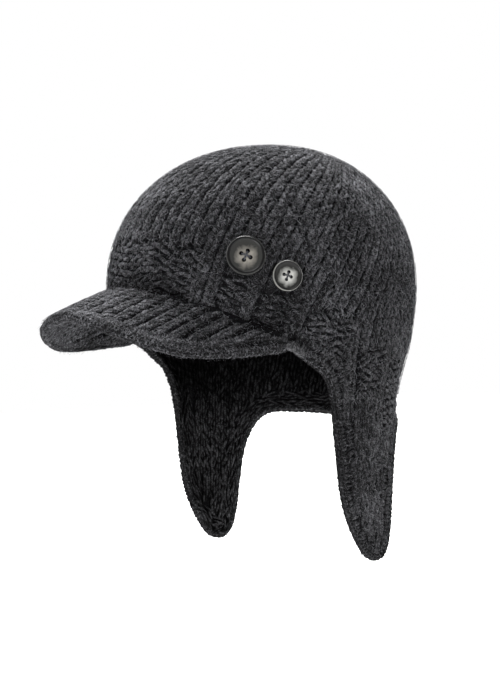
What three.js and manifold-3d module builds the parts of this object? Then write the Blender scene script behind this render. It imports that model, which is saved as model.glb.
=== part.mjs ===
// A chunky knitted winter cap in its worn form: a hollow crown and two ear flaps knitted in one
// piece, a short downturned peak at the front, and two four-hole buttons sewn on above the left
// temple. Millimetres, +Z up, the peak towards -Y and the wearer's left towards +X. The origin is
// the inside top of the crown, where the cap rests on a head.
import * as THREE from 'three';
import Module from 'manifold-3d';
import { mergeVertices } from 'three/addons/utils/BufferGeometryUtils.js';

// ---------------------------------------------------------------- driving dimensions
const WALL = 5.0;                 // thickness of the single knitted layer
const GIRTH_Z = -84.0;            // level of the widest girth, where the dome begins
const TOP_Z = 2.5;                // top of the crown, to the middle of the wall
const DOME_LENGTH = 136.0;        // from the girth up to the pole, along the dome
const DOME_SQUARENESS = 2.14;     // 2 is an ellipsoid, more is fuller at the shoulder
const POLE_TILT = 48;             // degrees: the columns of knitting close towards the back
// Plan of the wall's middle at each level: half width, reach to the front, reach to the back,
// squareness of the outline.
const SECTIONS = [
  [-250, 75.4, 90.0, 65.5, 3.00],
  [-200, 75.8, 96.0, 66.0, 2.80],
  [-170, 76.0, 101.0, 65.2, 2.55],
  [-152, 76.8, 104.0, 67.2, 2.30],
  [-135, 78.7, 106.0, 74.4, 2.15],
  [-120, 80.8, 107.5, 82.8, 2.05],
  [-104, 82.2, 108.3, 87.8, 2.00],
  [-84, 82.7, 108.3, 90.5, 2.00],
];
// Lower edge of the knitting, on the wall: degrees round from the front, and height above the
// girth. Forehead edge behind the peak, ear flap down to its tip and back up, then the nape.
const EDGE = [
  [0, -3.8], [14, -5.3], [26, -10.2], [35.5, -13.9], [44.5, -19.7], [52.5, -24.9], [58.5, -28.9],
  [62.3, -32.6], [65.2, -36.8], [70.2, -43.0], [76.2, -51.6], [78.8, -61.5], [80.0, -72.5],
  [81.0, -88.0], [82.1, -106.0], [83.4, -122.0], [85.9, -135.5], [89.4, -146.5], [95.0, -156.2],
  [100.2, -161.4], [106.2, -163.0], [111.4, -160.4], [114.8, -152.6], [116.5, -143.0], [117.5, -133.0],
  [118.5, -121.0], [120.1, -109.0], [122.3, -99.5], [125.8, -90.6], [129.4, -84.9], [133.4, -81.8],
  [138.0, -80.7], [150.0, -80.6], [165.0, -80.9], [180, -81.2],
];
const FLAP_FRONT = 8;             // entries of EDGE where the ear flap starts and ends
const FLAP_BACK = 31;
const LINES = 40;                 // lines of the surface grid round one half of the cap
const BAND_ROWS = 10;             // rows from the edge up to the ring above the girth
const DOME_ROWS = 11;             // rows from that ring to the pole
const RING = 12.0;                // height of that ring above the girth
const RIM = 2.2;                  // how far the rounded rim runs into the wall

const SEAM_END = 62.4;            // degrees round from the front where the peak's seam ends
const SEAM = [                    // upper line of the peak's seam: degrees, height above the girth
  [0, 2.6], [14, 1.4], [26, -3.7], [35.4, -7.4], [44.5, -13.3], [52.4, -18.4], [58.1, -21.8], [62.4, -25.9],
];
const PEAK_THICKNESS = 6.8;
const PEAK_HALF_WIDTH = 77.0;     // to the middle of the peak's rounded edge
const PEAK_FRONT_Y = -157.2;
const PEAK_SQUARENESS = 2.28;     // of its outline in plan
const PEAK_FRONT_Z = -99.3;       // height of the edge at the middle of the front
const PEAK_DROP = 29.2;           // how much lower the edge would be at the full half width
const PEAK_DROP_POWER = 1.47;
const PEAK_TEMPLE_RISE = 9.2;     // the edge comes back up to the temples
const PEAK_REACH_END = 0.96;      // share of the half outline that the section sweep covers
const PEAK_ARCH = 1.0;            // rise of the slab between seam and edge
const PEAK_STEPS = 40;

const GAP = 0.35;                 // between pieces that touch

// Buttons: diameter, place on the crown (degrees round, height above the girth), the square of
// holes and how far it is turned.
const BUTTON_LARGE = { radius: 11.5, thick: 3.2, rim: 1.7, round: 47.2, height: 17.4, holes: 4.1, holeRadius: 1.25, turn: 21 };
const BUTTON_SMALL = { radius: 9.0, thick: 2.7, rim: 1.1, round: 61.3, height: 8.1, holes: 3.2, holeRadius: 1.0, turn: 26 };
const THREAD_LARGE = 0.75;        // radius of the sewing thread's bundle
const THREAD_SMALL = 0.6;

// ---------------------------------------------------------------- colours
const WOOL = new THREE.MeshStandardMaterial({ color: 0x3a3b3e, roughness: 0.95, metalness: 0.0, name: 'charcoal_wool' });
const HORN_GREY = new THREE.MeshStandardMaterial({ color: 0x7d7b78, roughness: 0.35, metalness: 0.0, name: 'grey_horn_resin' });
const HORN_LIGHT = new THREE.MeshStandardMaterial({ color: 0x9a9a97, roughness: 0.3, metalness: 0.0, name: 'light_grey_horn_resin' });
const THREAD = new THREE.MeshStandardMaterial({ color: 0x2b2d33, roughness: 0.9, metalness: 0.0, name: 'sewing_thread' });

// ---------------------------------------------------------------- small helpers
const rad = THREE.MathUtils.degToRad;
const smooth = (w) => w * w * (3 - 2 * w);

// Monotone cubic through points whose x rises; flat beyond both ends.
function monotone(points) {
  const n = points.length;
  const x = points.map((p) => p[0]);
  const y = points.map((p) => p[1]);
  const d = [];
  for (let i = 0; i < n - 1; i++) d.push((y[i + 1] - y[i]) / (x[i + 1] - x[i]));
  const m = new Array(n).fill(0);
  for (let i = 1; i < n - 1; i++) {
    if (d[i - 1] * d[i] > 0) {
      const a = 2 * (x[i + 1] - x[i]) + (x[i] - x[i - 1]);
      const b = (x[i + 1] - x[i]) + 2 * (x[i] - x[i - 1]);
      m[i] = (a + b) / (a / d[i - 1] + b / d[i]);
    }
  }
  return (v) => {
    if (v <= x[0]) return y[0];
    if (v >= x[n - 1]) return y[n - 1];
    let i = 0;
    while (v > x[i + 1]) i++;
    const h = x[i + 1] - x[i];
    const t = (v - x[i]) / h;
    return (1 + 2 * t) * (1 - t) ** 2 * y[i] + t * (1 - t) ** 2 * h * m[i]
      + t * t * (3 - 2 * t) * y[i + 1] + t * t * (t - 1) * h * m[i + 1];
  };
}

const sectionAt = [1, 2, 3, 4].map((k) => monotone(SECTIONS.map((s) => [s[0], s[k]])));

// Point in the middle of the cap's wall: degrees round from the front, and length above the girth
// measured up the wall and the dome. The dome's circles of latitude turn back as they rise, so the
// lines of the grid close on a pole behind the top, as the columns of knitting do.
function capPoint(angle, height) {
  const s = Math.sin(rad(angle));
  const c = Math.cos(rad(angle));
  if (height <= 0) {
    const z = GIRTH_Z + height;
    const [half, front, back, p] = sectionAt.map((f) => f(z));
    const k = (Math.abs(s) ** p + Math.abs(c) ** p) ** (-1 / p);
    return new THREE.Vector3(half * s * k, -c * (c > 0 ? front : back) * k, z);
  }
  const t = Math.min(1, height / DOME_LENGTH);
  const phi = t * Math.PI / 2;
  const turn = -rad(POLE_TILT) * smooth(t);
  let x = s * Math.cos(phi);
  const y0 = -c * Math.cos(phi);
  const z0 = Math.sin(phi);
  let y = y0 * Math.cos(turn) - z0 * Math.sin(turn);
  let z = y0 * Math.sin(turn) + z0 * Math.cos(turn);
  const k = (Math.hypot(x, y) ** DOME_SQUARENESS + Math.abs(z) ** DOME_SQUARENESS) ** (-1 / DOME_SQUARENESS);
  x *= k; y *= k; z *= k;
  const [, half, front, back] = SECTIONS[SECTIONS.length - 1];
  return new THREE.Vector3(x * half, y * (y < 0 ? front : back), GIRTH_Z + (TOP_Z - GIRTH_Z) * z);
}

// Outward normal of the wall at the same coordinates.
function capNormal(angle, height) {
  const e = 0.4;
  const top = DOME_LENGTH - 1.5;
  const h = Math.min(height, top);
  const a = capPoint(angle + e, h).sub(capPoint(angle - e, h));
  const b = capPoint(angle, h + e).sub(capPoint(angle, h - e));
  return a.cross(b).normalize();
}

const onCap = (angle, height, out) => capPoint(angle, height).addScaledVector(capNormal(angle, height), out);

// Collects vertices and triangles of one closed body.
class Body {
  constructor() { this.v = []; this.t = []; }
  point(p) { this.v.push(p.x, p.y, p.z); return this.v.length / 3 - 1; }
  tri(a, b, c) { if (a !== b && b !== c && a !== c) this.t.push(a, b, c); }
  quad(a, b, c, d) { this.tri(a, b, c); this.tri(a, c, d); }
  geometry() {
    const g = new THREE.BufferGeometry();
    g.setAttribute('position', new THREE.Float32BufferAttribute(this.v, 3));
    g.setIndex(this.t);
    g.computeVertexNormals();
    return g;
  }
}

// ---------------------------------------------------------------- crown with its ear flaps
// Spaces the grid's lines evenly along the lower edge. Each line starts on the edge and runs up to
// a ring just above the girth, spreading evenly over the width of a flap, and on to the pole.
function edgeLines() {
  const scale = 1.5;              // mm of wall per degree, near enough for spacing
  const curve = new THREE.CatmullRomCurve3(
    EDGE.map(([a, h]) => new THREE.Vector3(a * scale, h, 0)), false, 'centripetal');
  curve.arcLengthDivisions = 2000;
  const spaced = curve.getSpacedPoints(LINES);
  const half = spaced.map((p) => ({ angle: p.x / scale, height: p.y }));
  half[0].angle = 0;
  half[LINES].angle = 180;
  const first = EDGE[FLAP_FRONT][0];
  const last = EDGE[FLAP_BACK][0];
  const inFlap = half.filter((l) => l.angle > first && l.angle < last);
  half.forEach((l) => {
    const k = inFlap.indexOf(l);
    l.ring = k < 0 ? l.angle : first + (last - first) * (k + 1) / (inFlap.length + 1);
  });
  const lines = half.map((l) => ({ ...l }));
  for (let i = LINES - 1; i > 0; i--) {
    const l = half[i];
    lines.push({ angle: 360 - l.angle, height: l.height, ring: 360 - l.ring });
  }
  return lines;
}

function crownGeometry() {
  const lines = edgeLines();
  const n = lines.length;
  const body = new Body();
  const outer = [];
  const inner = [];
  const rim = [];
  for (let j = 0; j < n; j++) {
    const l = lines[j];
    const next = lines[(j + 1) % n];
    const prev = lines[(j + n - 1) % n];
    // direction along the edge, and into the cloth from it, in mm on the wall
    const perDegree = capPoint(l.angle + 0.5, l.height).distanceTo(capPoint(l.angle - 0.5, l.height));
    const da = (((next.angle - prev.angle) % 360) + 360) % 360 * perDegree;
    const dh = next.height - prev.height;
    const len = Math.hypot(da, dh);
    const into = (mm) => [l.angle - dh / len * mm / perDegree, l.height + da / len * mm];
    const [a0, h0] = into(RIM);
    const [a1, h1] = into(RIM * 0.3);
    const half = WALL / 2;
    rim.push([
      body.point(onCap(a1, h1, half * 0.72)),
      body.point(onCap(l.angle, l.height, 0)),
      body.point(onCap(a1, h1, -half * 0.72)),
    ]);
    const out = [];
    const inn = [];
    for (let i = 0; i <= BAND_ROWS; i++) {
      const w = i / BAND_ROWS;
      const a = a0 + (l.ring - a0) * smooth(w);
      const h = h0 + (RING - h0) * w;
      out.push(body.point(onCap(a, h, half)));
      inn.push(body.point(onCap(a, h, -half)));
    }
    for (let i = 1; i < DOME_ROWS; i++) {
      const h = RING + (DOME_LENGTH - RING) * i / DOME_ROWS;
      out.push(body.point(onCap(l.ring, h, half)));
      inn.push(body.point(onCap(l.ring, h, -half)));
    }
    outer.push(out);
    inner.push(inn);
  }
  const pole = capPoint(0, DOME_LENGTH);
  const poleNormal = capNormal(0, DOME_LENGTH).add(capNormal(90, DOME_LENGTH))
    .add(capNormal(180, DOME_LENGTH)).add(capNormal(270, DOME_LENGTH)).normalize();
  const poleOut = body.point(pole.clone().addScaledVector(poleNormal, WALL / 2));
  const poleIn = body.point(pole.clone().addScaledVector(poleNormal, -WALL / 2));
  const rows = outer[0].length;
  for (let j = 0; j < n; j++) {
    const k = (j + 1) % n;
    for (let i = 0; i < rows - 1; i++) {
      body.quad(outer[j][i], outer[k][i], outer[k][i + 1], outer[j][i + 1]);
      body.quad(inner[k][i], inner[j][i], inner[j][i + 1], inner[k][i + 1]);
    }
    body.tri(outer[j][rows - 1], outer[k][rows - 1], poleOut);
    body.tri(inner[k][rows - 1], inner[j][rows - 1], poleIn);
    body.quad(rim[j][0], rim[k][0], outer[k][0], outer[j][0]);
    body.quad(rim[j][1], rim[k][1], rim[k][0], rim[j][0]);
    body.quad(rim[j][2], rim[k][2], rim[k][1], rim[j][1]);
    body.quad(inner[j][0], inner[k][0], rim[k][2], rim[j][2]);
  }
  return body.geometry();
}

// ---------------------------------------------------------------- peak
// A slab of knitting swept across the front. Each section starts on the seam at the crown and runs
// forward and down to the rounded edge.
const seamHeight = monotone(SEAM);

function peakEdge(u) {
  const a = u * Math.PI / 2;
  const s = Math.abs(Math.sin(a));
  const c = Math.abs(Math.cos(a));
  const backY = onCap(SEAM_END, seamHeight(SEAM_END), WALL / 2).y;
  const x = PEAK_HALF_WIDTH * s ** (2 / PEAK_SQUARENESS);
  const y = backY - (backY - PEAK_FRONT_Y) * c ** (2 / PEAK_SQUARENESS);
  const rise = PEAK_TEMPLE_RISE * THREE.MathUtils.clamp((s - 0.75) / 0.25, 0, 1) ** 2;
  const z = PEAK_FRONT_Z - PEAK_DROP * (x / PEAK_HALF_WIDTH) ** PEAK_DROP_POWER + rise;
  return new THREE.Vector3(Math.sign(u) * x, y, z);
}

function peakRoot(u, below) {
  const angle = Math.abs(u) * SEAM_END;
  const p = onCap(angle, seamHeight(angle) - below, WALL / 2 + GAP);
  return new THREE.Vector3(Math.sign(u) * p.x, p.y, p.z);
}

function peakMiddle(u, v) {
  const p = peakRoot(u, PEAK_THICKNESS / 2).lerp(peakEdge(u), v);
  p.z += PEAK_ARCH * 4 * v * (1 - v) * Math.cos(u * Math.PI / 2);
  return p;
}

function peakGeometry() {
  const body = new Body();
  const r = PEAK_THICKNESS / 2;
  const rings = [];
  for (let i = 0; i <= PEAK_STEPS; i++) {
    const u = PEAK_REACH_END * (2 * i / PEAK_STEPS - 1);
    const e = 0.01;
    const edge = peakEdge(u);
    const out = edge.clone().sub(peakMiddle(u, 0));
    const width = out.length();
    out.normalize();
    // the sections lie across the slab, so its upward normal follows the surface
    const along = peakMiddle(u + e, 0.5).sub(peakMiddle(u - e, 0.5));
    const up = out.clone().cross(along).normalize();
    if (up.z < 0) up.negate();
    // towards the temples the slab is thin and long, so there it is measured straight up instead
    const upright = new THREE.Vector3(0, 0, 1).addScaledVector(out, -out.z).normalize();
    up.lerp(upright, smooth(THREE.MathUtils.clamp((Math.abs(u) - 0.55) / 0.3, 0, 1))).normalize();
    const ring = [peakRoot(u, 0.2)];
    for (const v of [0.22, 0.5, 0.78]) {
      const w = v * (width - r) / width;
      ring.push(peakMiddle(u, w).addScaledVector(up, r));
    }
    const centre = edge.clone().addScaledVector(out, -r);
    for (const a of [90, 50, 15, -15, -50, -90]) {
      ring.push(centre.clone().addScaledVector(out, r * Math.cos(rad(a))).addScaledVector(up, r * Math.sin(rad(a))));
    }
    for (const v of [0.78, 0.5, 0.22]) {
      const w = v * (width - r) / width;
      ring.push(peakMiddle(u, w).addScaledVector(up, -r));
    }
    ring.push(peakRoot(u, PEAK_THICKNESS - 0.2));
    rings.push(ring.map((p) => body.point(p)));
  }
  const m = rings[0].length;
  for (let i = 0; i < PEAK_STEPS; i++) {
    for (let k = 0; k < m; k++) {
      const q = (k + 1) % m;
      body.quad(rings[i][k], rings[i][q], rings[i + 1][q], rings[i + 1][k]);
    }
  }
  // flat ends at the temples
  for (const [ring, flip] of [[rings[0], true], [rings[PEAK_STEPS], false]]) {
    const middle = new THREE.Vector3();
    ring.forEach((k) => middle.add(new THREE.Vector3(body.v[3 * k], body.v[3 * k + 1], body.v[3 * k + 2])));
    const c = body.point(middle.divideScalar(m));
    for (let k = 0; k < m; k++) {
      const q = (k + 1) % m;
      if (flip) body.tri(c, ring[q], ring[k]); else body.tri(c, ring[k], ring[q]);
    }
  }
  return body.geometry();
}

// ---------------------------------------------------------------- buttons and their thread
const wasm = await Module();
wasm.setup();

function toSolid(geometry) {
  const g = geometry.clone();
  g.deleteAttribute('normal');
  g.deleteAttribute('uv');
  const merged = mergeVertices(g, 1e-4);
  return new wasm.Manifold(new wasm.Mesh({
    numProp: 3,
    vertProperties: new Float32Array(merged.attributes.position.array),
    triVerts: new Uint32Array(merged.index.array),
  }));
}

function toGeometry(solid) {
  const mesh = solid.getMesh();
  const g = new THREE.BufferGeometry();
  g.setAttribute('position', new THREE.BufferAttribute(new Float32Array(mesh.vertProperties), 3));
  g.setIndex(new THREE.BufferAttribute(new Uint32Array(mesh.triVerts), 1));
  g.computeVertexNormals();
  return g;
}

// The four holes' middles, in the button's own plane.
function holePlaces(b) {
  const places = [];
  for (let k = 0; k < 4; k++) {
    const a = rad(b.turn + 45 + 90 * k);
    const d = b.holes / 2 * Math.SQRT2;
    places.push(new THREE.Vector2(d * Math.cos(a), d * Math.sin(a)));
  }
  return places;
}

// Turned disc: flat back, rounded side, raised rim, and a face that dips towards the holes.
function buttonGeometry(b) {
  const { radius: R, thick: T, rim } = b;
  const dish = T - 1.0;
  const profile = [
    [0, 0], [R - 1.3, 0], [R - 0.4, 0.5], [R, 1.3], [R - 0.05, T - 0.7], [R - 0.5, T - 0.1],
    [R - rim * 0.55, T], [R - rim, T - 0.3], [R - rim - 0.5, dish + 0.25], [R * 0.45, dish], [0, dish - 0.1],
  ].map(([x, y]) => new THREE.Vector2(x, y));
  const disc = new THREE.LatheGeometry(profile, 36);
  disc.rotateX(Math.PI / 2);
  let solid = toSolid(disc);
  for (const p of holePlaces(b)) {
    const drill = new THREE.CylinderGeometry(b.holeRadius, b.holeRadius, 3 * T, 12);
    drill.rotateX(Math.PI / 2);
    drill.translate(p.x, p.y, T / 2);
    solid = solid.subtract(toSolid(drill));
  }
  return toGeometry(solid);
}

// Two bundles of thread that cross on the face and go down through opposite holes.
function threadGeometry(b, r) {
  const face = b.thick - 1.0;
  const holes = holePlaces(b);
  let solid = null;
  for (let k = 0; k < 2; k++) {
    const a = holes[k];
    const c = holes[k + 2];
    const low = face + r + 0.35;
    const high = low + (k === 0 ? 0 : 1.55 * r);
    const path = new THREE.CurvePath();
    const at = (p, w, z) => new THREE.Vector3(p.x * w, p.y * w, z);
    const points = [at(a, 1, 0.05), at(a, 1, face * 0.55), at(a, 0.97, face + 0.05), at(a, 0.68, low), at(a, 0.3, high),
      at(c, 0.3, high), at(c, 0.68, low), at(c, 0.97, face + 0.05), at(c, 1, face * 0.55), at(c, 1, 0.05)];
    for (let i = 0; i < points.length - 1; i++) path.add(new THREE.LineCurve3(points[i], points[i + 1]));
    const smoothPath = new THREE.CatmullRomCurve3(points, false, 'centripetal');
    const circle = new THREE.Shape();
    for (let i = 0; i <= 8; i++) {
      const t = rad(45 * i);
      if (i === 0) circle.moveTo(r, 0); else circle.lineTo(r * Math.cos(t), r * Math.sin(t));
    }
    const strand = toSolid(new THREE.ExtrudeGeometry(circle, { steps: 16, extrudePath: smoothPath, curveSegments: 1 }));
    solid = solid ? solid.add(strand) : strand;
  }
  return toGeometry(solid);
}

// Stands a button's parts on the crown: its back faces the cloth, and the square of holes is turned
// from the level line.
function placeOnCrown(object, b) {
  const n = capNormal(b.round, b.height);
  const level = new THREE.Vector3(-n.y, n.x, 0).normalize();
  const rise = n.clone().cross(level).normalize();
  object.position.copy(capPoint(b.round, b.height).addScaledVector(n, WALL / 2 + GAP));
  object.quaternion.setFromRotationMatrix(new THREE.Matrix4().makeBasis(level, rise, n));
}

// ---------------------------------------------------------------- the cap
function mesh(name, geometry, material) {
  const m = new THREE.Mesh(geometry, material);
  m.name = name;
  return m;
}

const cap = new THREE.Group();
cap.name = 'knit_cap';
cap.add(mesh('crown_with_ear_flaps', crownGeometry(), WOOL));
cap.add(mesh('peak', peakGeometry(), WOOL));

const large = new THREE.Group();
large.add(mesh('button_large', buttonGeometry(BUTTON_LARGE), HORN_GREY));
large.add(mesh('button_large_thread', threadGeometry(BUTTON_LARGE, THREAD_LARGE), THREAD));
placeOnCrown(large, BUTTON_LARGE);
cap.add(large);

const small = new THREE.Group();
small.add(mesh('button_small', buttonGeometry(BUTTON_SMALL), HORN_LIGHT));
small.add(mesh('button_small_thread', threadGeometry(BUTTON_SMALL, THREAD_SMALL), THREAD));
placeOnCrown(small, BUTTON_SMALL);
cap.add(small);

export default cap;
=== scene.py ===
"""A chunky knitted winter cap with ear flaps, a peak and two sewn-on buttons, dressed stitch by stitch."""
from __future__ import annotations

import logging
import math
from dataclasses import dataclass, field
from enum import Enum
from functools import partial
from typing import Callable, Sequence

import bmesh
import bpy
import numpy as np
from mathutils import Matrix, Vector
from mathutils.kdtree import KDTree


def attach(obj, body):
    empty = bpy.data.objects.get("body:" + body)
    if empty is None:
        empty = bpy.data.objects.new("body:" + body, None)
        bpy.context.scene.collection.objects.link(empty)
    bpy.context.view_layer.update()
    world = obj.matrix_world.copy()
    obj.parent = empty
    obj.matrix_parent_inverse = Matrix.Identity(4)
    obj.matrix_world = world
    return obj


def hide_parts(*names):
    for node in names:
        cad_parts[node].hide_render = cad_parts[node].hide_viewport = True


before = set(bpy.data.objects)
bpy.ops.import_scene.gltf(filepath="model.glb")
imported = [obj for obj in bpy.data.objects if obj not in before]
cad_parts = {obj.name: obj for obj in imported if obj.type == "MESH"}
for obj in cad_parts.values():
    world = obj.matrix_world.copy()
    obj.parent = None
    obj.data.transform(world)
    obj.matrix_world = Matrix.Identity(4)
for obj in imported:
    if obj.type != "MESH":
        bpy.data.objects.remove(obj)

log = logging.getLogger("knit_cap")
Array = np.ndarray
MM = 0.001  # metres in a millimetre
FIBRES_FULL, FIBRES_QUICK = 2.6, 0.5


# Helpers
def linear(hex_colour: str) -> tuple[float, float, float, float]:
    """Turns an sRGB hex colour into linear RGBA.

    Args:
        hex_colour: six hex digits, with or without a leading #.

    Returns:
        The colour as four linear floats, alpha 1.
    """
    digits = hex_colour.lstrip("#")
    values = [int(digits[i:i + 2], 16) / 255 for i in (0, 2, 4)]
    return (*(v / 12.92 if v <= 0.04045 else ((v + 0.055) / 1.055) ** 2.4 for v in values), 1.0)


def add_node(tree: bpy.types.NodeTree, kind: str, settings: dict | None = None,
             links: dict | None = None) -> bpy.types.Node:
    """Adds one node with its settings and links.

    Args:
        tree: the node tree it goes into.
        kind: the node's type name.
        settings: node attributes by name, or input values by "in:NAME" or "in:INDEX".
        links: input socket (name or index) to the output socket, or the node whose first output, feeds it.

    Returns:
        The new node.
    """
    node = tree.nodes.new(kind)
    for key, value in (settings or {}).items():
        if key.startswith("in:"):
            socket = key[3:]
            node.inputs[int(socket) if socket.isdigit() else socket].default_value = value
        else:
            setattr(node, key, value)
    for key, source in (links or {}).items():
        tree.links.new(source.outputs[0] if isinstance(source, bpy.types.Node) else source, node.inputs[key])
    return node


def unit(vectors: Array) -> Array:
    """Returns the vectors of an (n, 3) array at length one."""
    return vectors / np.maximum(np.linalg.norm(vectors, axis=-1, keepdims=True), 1e-9)


def smooth(w: Array | float) -> Array | float:
    """Returns the smoothstep of a share from 0 to 1."""
    return w * w * (3 - 2 * w)


def from_front(angle: Array) -> Array:
    """Folds angles round the cap into degrees from the front, alike on both sides."""
    return np.minimum(angle % 360, 360 - angle % 360)


def run_along(line: Array) -> Array:
    """Returns the length from the start of a line to each of its points."""
    return np.concatenate([[0], np.cumsum(np.linalg.norm(np.diff(line, axis=0), axis=1))])


def nearest(line: Array, places: Array) -> tuple[Array, Array]:
    """Returns each place's distance from a line of points, and the number of the nearest point."""
    away = [np.linalg.norm(line - place, axis=1) for place in places]
    return np.array([a.min() for a in away]), np.array([a.argmin() for a in away])


def monotone(points: Sequence[Sequence[float]]) -> Callable[[Array], Array]:
    """Makes a monotone cubic through points whose x rises, flat beyond both ends.

    Args:
        points: pairs of x and y.

    Returns:
        A function of an array of x.
    """
    x, y = np.array([p[0] for p in points], float), np.array([p[1] for p in points], float)
    h, d = np.diff(x), np.diff(y) / np.diff(x)
    m = np.zeros(len(x))
    for i in range(1, len(x) - 1):
        if d[i - 1] * d[i] > 0:
            a, b = 2 * h[i] + h[i - 1], h[i] + 2 * h[i - 1]
            m[i] = (a + b) / (a / d[i - 1] + b / d[i])

    def evaluate(v: Array) -> Array:
        """Evaluates the cubic at v."""
        v = np.clip(np.asarray(v, float), x[0], x[-1])
        i = np.clip(np.searchsorted(x, v, side="right") - 1, 0, len(x) - 2)
        t = (v - x[i]) / h[i]
        return ((1 + 2 * t) * (1 - t) ** 2 * y[i] + t * (1 - t) ** 2 * h[i] * m[i]
                + t * t * (3 - 2 * t) * y[i + 1] + t * t * (t - 1) * h[i] * m[i + 1])

    return evaluate


def mesh_object(name: str, verts_mm: Array, faces: Sequence[Sequence[int]],
                material: bpy.types.Material | None = None, soft: bool = True) -> bpy.types.Object:
    """Makes a mesh object at the origin.

    Args:
        name: the object's name.
        verts_mm: (n, 3) points in millimetres.
        faces: lists of vertex indices.
        material: its material, if any.
        soft: shades the faces smooth.

    Returns:
        The new object, linked to the scene.
    """
    mesh = bpy.data.meshes.new(name)
    mesh.from_pydata((np.asarray(verts_mm) * MM).tolist(), [], [tuple(map(int, f)) for f in faces])
    if soft and len(mesh.polygons):
        mesh.polygons.foreach_set("use_smooth", [True] * len(mesh.polygons))
    if material:
        mesh.materials.append(material)
    mesh.update()
    obj = bpy.data.objects.new(name, mesh)
    bpy.context.scene.collection.objects.link(obj)
    return obj


def store(obj: bpy.types.Object, name: str, values: Array) -> None:
    """Stores one float or one vector for each vertex as a named attribute.

    Args:
        obj: the mesh object.
        name: the attribute's name.
        values: (n,) floats or (n, 3) vectors.
    """
    vector = values.ndim == 2
    attribute = obj.data.attributes.new(name, "FLOAT_VECTOR" if vector else "FLOAT", "POINT")
    attribute.data.foreach_set("vector" if vector else "value", np.asarray(values, np.float32).ravel())


def made_plain(obj: bpy.types.Object) -> bpy.types.Object:
    """Turns an object's evaluated modifiers into its own plain mesh.

    Args:
        obj: a mesh object with live modifiers.

    Returns:
        The same object, with no modifiers left.
    """
    bpy.context.view_layer.update()
    depsgraph = bpy.context.evaluated_depsgraph_get()
    result = bpy.data.meshes.new_from_object(obj.evaluated_get(depsgraph), depsgraph=depsgraph)
    old = obj.data
    obj.modifiers.clear()
    obj.data = result
    bpy.data.meshes.remove(old)
    result.name = obj.name
    return obj


def run_tree(obj: bpy.types.Object, tree: bpy.types.NodeTree, values: dict) -> bpy.types.Object:
    """Runs a geometry node tree on an object and makes the result plain.

    Args:
        obj: the object whose mesh feeds the tree.
        tree: the tree.
        values: input name to value.

    Returns:
        The same object with the result as its mesh.
    """
    modifier = obj.modifiers.new(tree.name, "NODES")
    modifier.node_group = tree
    sockets = {s.name: s.identifier for s in tree.interface.items_tree if s.item_type == "SOCKET"
               and s.in_out == "INPUT"}
    for name, value in values.items():
        modifier[sockets[name]] = value
    return made_plain(obj)


def tube(name: str, line: Array, side: Array, up: Array, radius: float | Array, closed: bool,
         material: bpy.types.Material | None, sides: int = 12, lump: float = 0.0,
         seed: int = 0) -> bpy.types.Object:
    """Sweeps a closed round tube along a line, slightly uneven as knitting is.

    Args:
        name: the object's name.
        line: (n, 3) middle of the tube in millimetres.
        side: (n, 3) unit vectors across it.
        up: (n, 3) unit vectors across it and side.
        radius: its radius, or an (n, 1) array of radii.
        closed: joins its ends.
        material: its finish.
        sides: faces round it.
        lump: how much the radius varies, as a share.
        seed: seed of the unevenness.

    Returns:
        The tube object.
    """
    n = len(line)
    rng = np.random.default_rng(seed)
    turns = np.arange(sides) * 2 * math.pi / sides
    uneven = rng.normal(0, 1, (n, sides))
    for _ in range(2):
        uneven = (np.roll(uneven, 1, 0) + uneven + np.roll(uneven, -1, 0)) / 3
    r = (radius * (1 + lump * uneven))[..., None]
    ring = (line[:, None]
            + (side[:, None] * np.cos(turns)[None, :, None] + up[:, None] * np.sin(turns)[None, :, None]) * r)
    faces = []
    for i in range(n if closed else n - 1):
        k = (i + 1) % n
        for q in range(sides):
            q2 = (q + 1) % sides
            faces.append((i * sides + q, i * sides + q2, k * sides + q2, k * sides + q))
    if not closed:
        faces.append(tuple(range(sides - 1, -1, -1)))
        faces.append(tuple((n - 1) * sides + q for q in range(sides)))
    obj = mesh_object(name, ring.reshape(-1, 3), faces, material)
    return outward(obj)


def outward(obj: bpy.types.Object) -> bpy.types.Object:
    """Turns a closed mesh's faces outwards.

    Args:
        obj: the mesh object.

    Returns:
        The same object.
    """
    work = bmesh.new()
    work.from_mesh(obj.data)
    bmesh.ops.recalc_face_normals(work, faces=work.faces)
    work.to_mesh(obj.data)
    work.free()
    return obj


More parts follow.
